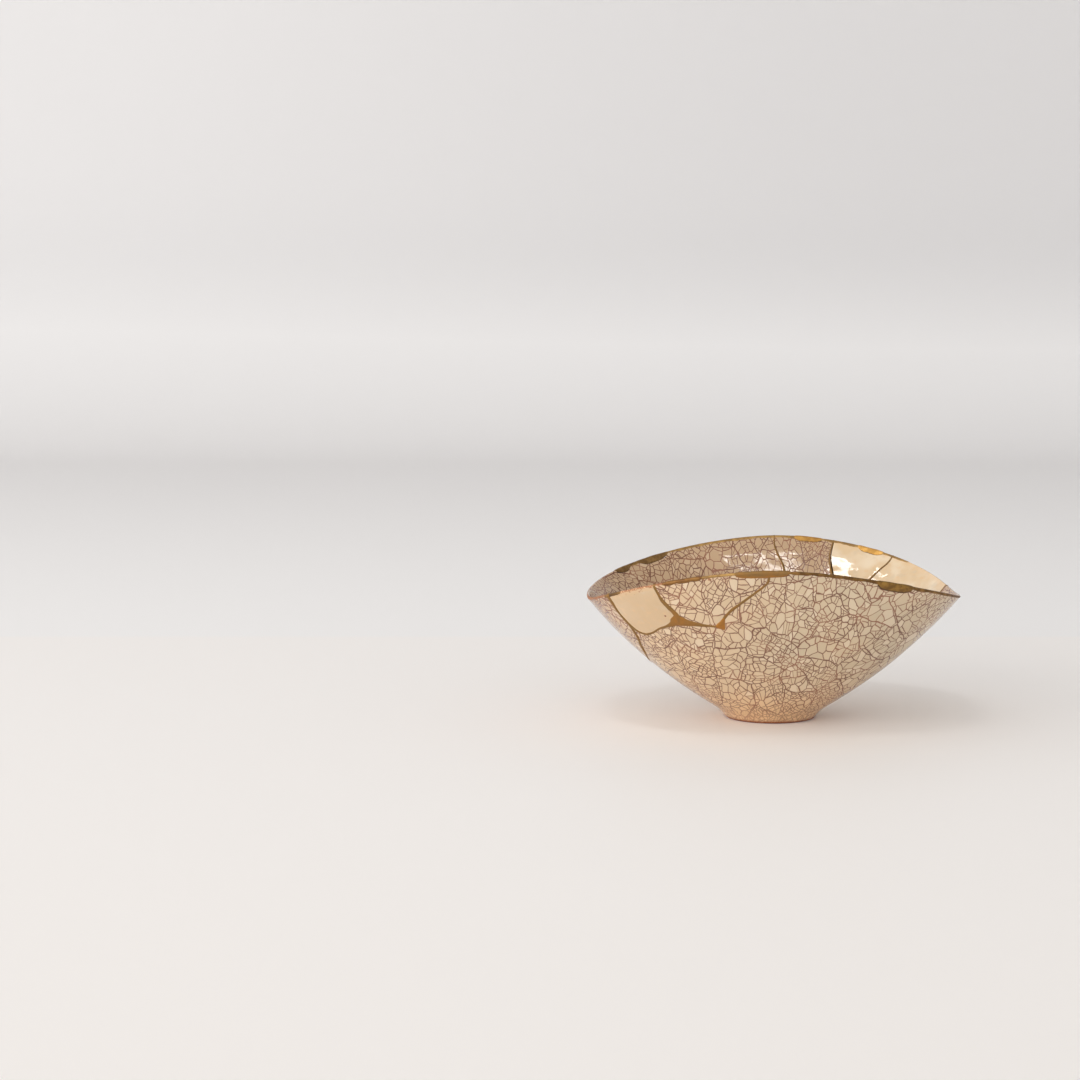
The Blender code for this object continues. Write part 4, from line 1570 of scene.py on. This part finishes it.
@dataclass(frozen=True)
class Studio:
    """The camera, the pale floor and wall, and the soft light."""

    camera_place: tuple[float, float, float] = (-0.1827, -1.1679, 0.2058)
    yaw: float = math.radians(3.40)
    pitch: float = math.radians(5.76)
    lens: float = 80.67
    glow_low: float = 1.46
    glow_high: float = 0.50
    glow_right: float = 0.62
    glow_left: float = 1.25
    wall_gap: float = 2.2
    wall_height: float = 3.0
    floor_reach: float = 4.0
    cove: float = 0.4
    cove_steps: int = 8
    tone_line: float = 278.0
    floor_tone: Colour = tone(249, 245, 242)
    near_tone: Colour = tone(249, 244, 240)
    wall_tone: Colour = tone(247, 245, 244)
    # The backdrop's darker tone: partly the wall's own grey, partly painted shade
    far_grey_and_shade: Colour = tone(212, 210, 210)
    lamp_tint: tuple[float, float, float] = (1.0, 0.99, 0.98)
    strip_tint: tuple[float, float, float] = (1.0, 0.99, 0.97)
    glow_tint: Colour = (1.0, 0.995, 0.985, 1.0)
    glow_side: tuple[float, float, float] = (-0.86, -0.5, 0.0)

    def build(self) -> None:
        """Sets up the camera, the room and the lights."""
        self.camera()
        self.room()
        self.lights()

    def camera(self) -> None:
        """The camera, where the photographer stood."""
        data = bpy.data.cameras.new("Camera")
        data.lens = self.lens
        data.sensor_width = 36.0
        data.sensor_fit = "AUTO"
        data.clip_start = 0.01
        camera = bpy.data.objects.new("Camera", data)
        camera.location = self.camera_place
        camera.rotation_euler = (math.pi / 2 - self.pitch, 0.0, -self.yaw)
        bpy.context.scene.collection.objects.link(camera)
        bpy.context.scene.camera = camera
        bpy.context.scene.view_settings.view_transform = "Standard"

    def room(self) -> None:
        """A floor that rises to a wall far behind in a wide curve."""
        mesh = bmesh.new()
        outline = [(-self.floor_reach, 0.0)]
        for step in range(self.cove_steps + 1):
            turn = math.pi / 2 * step / self.cove_steps
            out, up = math.sin(turn) - 1, 1 - math.cos(turn)
            outline.append((self.wall_gap + self.cove * out, self.cove * up))
        outline.append((self.wall_gap, self.wall_height))
        corners = [mesh.verts.new((-self.floor_reach, y, z)) for y, z in outline]
        edges = [mesh.edges.new(pair) for pair in zip(corners, corners[1:])]
        swept = bmesh.ops.extrude_edge_only(mesh, edges=edges)
        moved = [item for item in swept["geom"] if isinstance(item, bmesh.types.BMVert)]
        bmesh.ops.translate(mesh, vec=(2 * self.floor_reach, 0.0, 0.0), verts=moved)
        turned = Euler((0.0, 0.0, -self.yaw)).to_matrix().to_4x4()
        bmesh.ops.transform(mesh, matrix=turned, verts=mesh.verts)
        for face in mesh.faces:
            face.normal_update()
            if face.normal.z < 0 or face.normal.y > 0:
                face.normal_flip()
        room = Bench.thing("studio_floor", mesh)
        room.data.shade_smooth()
        graph = Graph.of_material("Studio paper")
        place = graph.places_mm()
        x, y, z = graph.parts(place)
        colour = graph.blend((y * -1.0).rise(0.0, 900.0), self.floor_tone, self.near_tone)
        depth = x * math.sin(self.yaw) + y * math.cos(self.yaw)
        colour = graph.blend(depth.rise(self.tone_line - 5, self.tone_line + 7), colour, self.wall_tone)
        # Painted shade on the backdrop: darker up the wall and toward the right, and along the floor toward
        # the back; the wall's grey is partly its own
        high = z.rise(0.0, 300.0) * (x.rise(-900.0, 700.0) * 0.25 + 0.75)
        colour = graph.blend(high.most(depth.rise(250.0, 1900.0) * 0.42), colour, self.far_grey_and_shade)
        room.data.materials.append(graph.finish(colour, 0.55, {"Specular IOR Level": 0.3}))

    def lamp(self, name: str, place: Any, size: Any, power: float, colour: Any) -> bpy.types.Object:
        """One soft rectangular light that points at the bowl's foot, which the camera doesn't see.

        Args:
            name: Its name.
            place: Where it hangs.
            size: Its width and height.
            power: Its power in watts.
            colour: Its colour.

        Returns:
            The light.
        """
        data = bpy.data.lights.new(name, "AREA")
        data.shape = "RECTANGLE"
        data.size, data.size_y = size
        data.energy = power
        data.color = colour
        lamp = bpy.data.objects.new(name, data)
        lamp.location = place
        lamp.rotation_euler = (-Vector(place)).to_track_quat("-Z", "Y").to_euler()
        lamp.visible_camera = False
        bpy.context.scene.collection.objects.link(lamp)
        return lamp

    def lights(self) -> None:
        """A wide light from the front left, one from the left, long thin lights above and a soft glow."""
        self.lamp("Wide light", (-2.3, -2.2, 1.0), (3.2, 1.8), 29.0, self.lamp_tint)
        self.lamp("Side light", (-2.5, -0.1, 0.5), (2.4, 0.9), 11.5, self.lamp_tint)
        self.strip("Front strip", (0.16, -0.86, 1.5), (0.0, -0.80, 1.5), 0.045, 0.42)
        self.strip("Middle strip", (-0.21, -0.66, 1.5), (-0.52, -0.38, 1.5), 0.09, 2.0)
        self.strip("Left strip", (-0.72, -0.06, 1.5), (-0.84, 0.14, 1.5), 0.05, 0.6)
        graph = Graph(bpy.data.worlds.new("Studio glow"), "Background")
        sky = graph.node("ShaderNodeTexCoord", {}, {}).outputs["Generated"]
        toward = graph.node("ShaderNodeVectorMath", {"operation": "DOT_PRODUCT"}, {0: sky, 1: self.glow_side})
        _, _, up = graph.parts(sky)
        strength = 1.0
        for level, low, high, first, last in (
            (up, 0.0, 0.8, self.glow_low, self.glow_high),
            (toward.outputs["Value"], -1.0, 1.0, self.glow_right, self.glow_left),
        ):
            inputs = {0: level, 1: low, 2: high, 3: first, 4: last}
            strength = graph.value("ShaderNodeMapRange", {}, inputs) * strength
        graph.feed(graph.shader, {"Color": self.glow_tint, "Strength": strength})
        bpy.context.scene.world = graph.owner

    def strip(self, name: str, first: Any, last: Any, width: float, power: float) -> None:
        """A long thin light between two places, which looks at the bowl.

        Args:
            name: Its name.
            first: One end.
            last: The other end.
            width: Its width.
            power: Its power in watts.
        """
        start, end = Vector(first), Vector(last)
        run = (end - start).normalized()
        middle = (start + end) / 2
        facing = middle.normalized()
        up = facing.cross(run).normalized()
        facing = run.cross(up)
        size = ((end - start).length, width)
        lamp = self.lamp(name, tuple(middle), size, power, self.strip_tint)
        lamp.rotation_euler = Matrix((run, up, facing)).transposed().to_euler()


def main() -> None:
    """Builds the studio, the sherds and the gold."""
    logging.basicConfig(level=logging.INFO, format="%(name)s %(message)s")
    noise.seed_set(WAVER_SEED)
    bowl = PressedBowl()
    Studio().build()
    breaks = [BreakLine(bowl, places, 1.7 + 2.9 * order) for order, places in enumerate(BREAKS.values())]
    chips = {
        name: RimChip(bowl, *chip, 4.1 + 1.3 * order) for order, (name, chip) in enumerate(CHIPS.items())
    }
    chips["front_left"] = replace(chips["front_left"], ragged=1.1 * MM)
    chips["back_left"] = replace(chips["back_left"], dip=0.85, dip_at=0.2)
    crackle = CrackleGlaze().material()
    ivory = IvoryGlaze().material(bowl)
    Ceramic(bowl, crackle, ivory, breaks, list(chips.values())).build()
    Gold(bowl, breaks, chips, {name: gold.material() for name, gold in GOLDS.items()}).build()


if __name__ == "__main__":
    main()
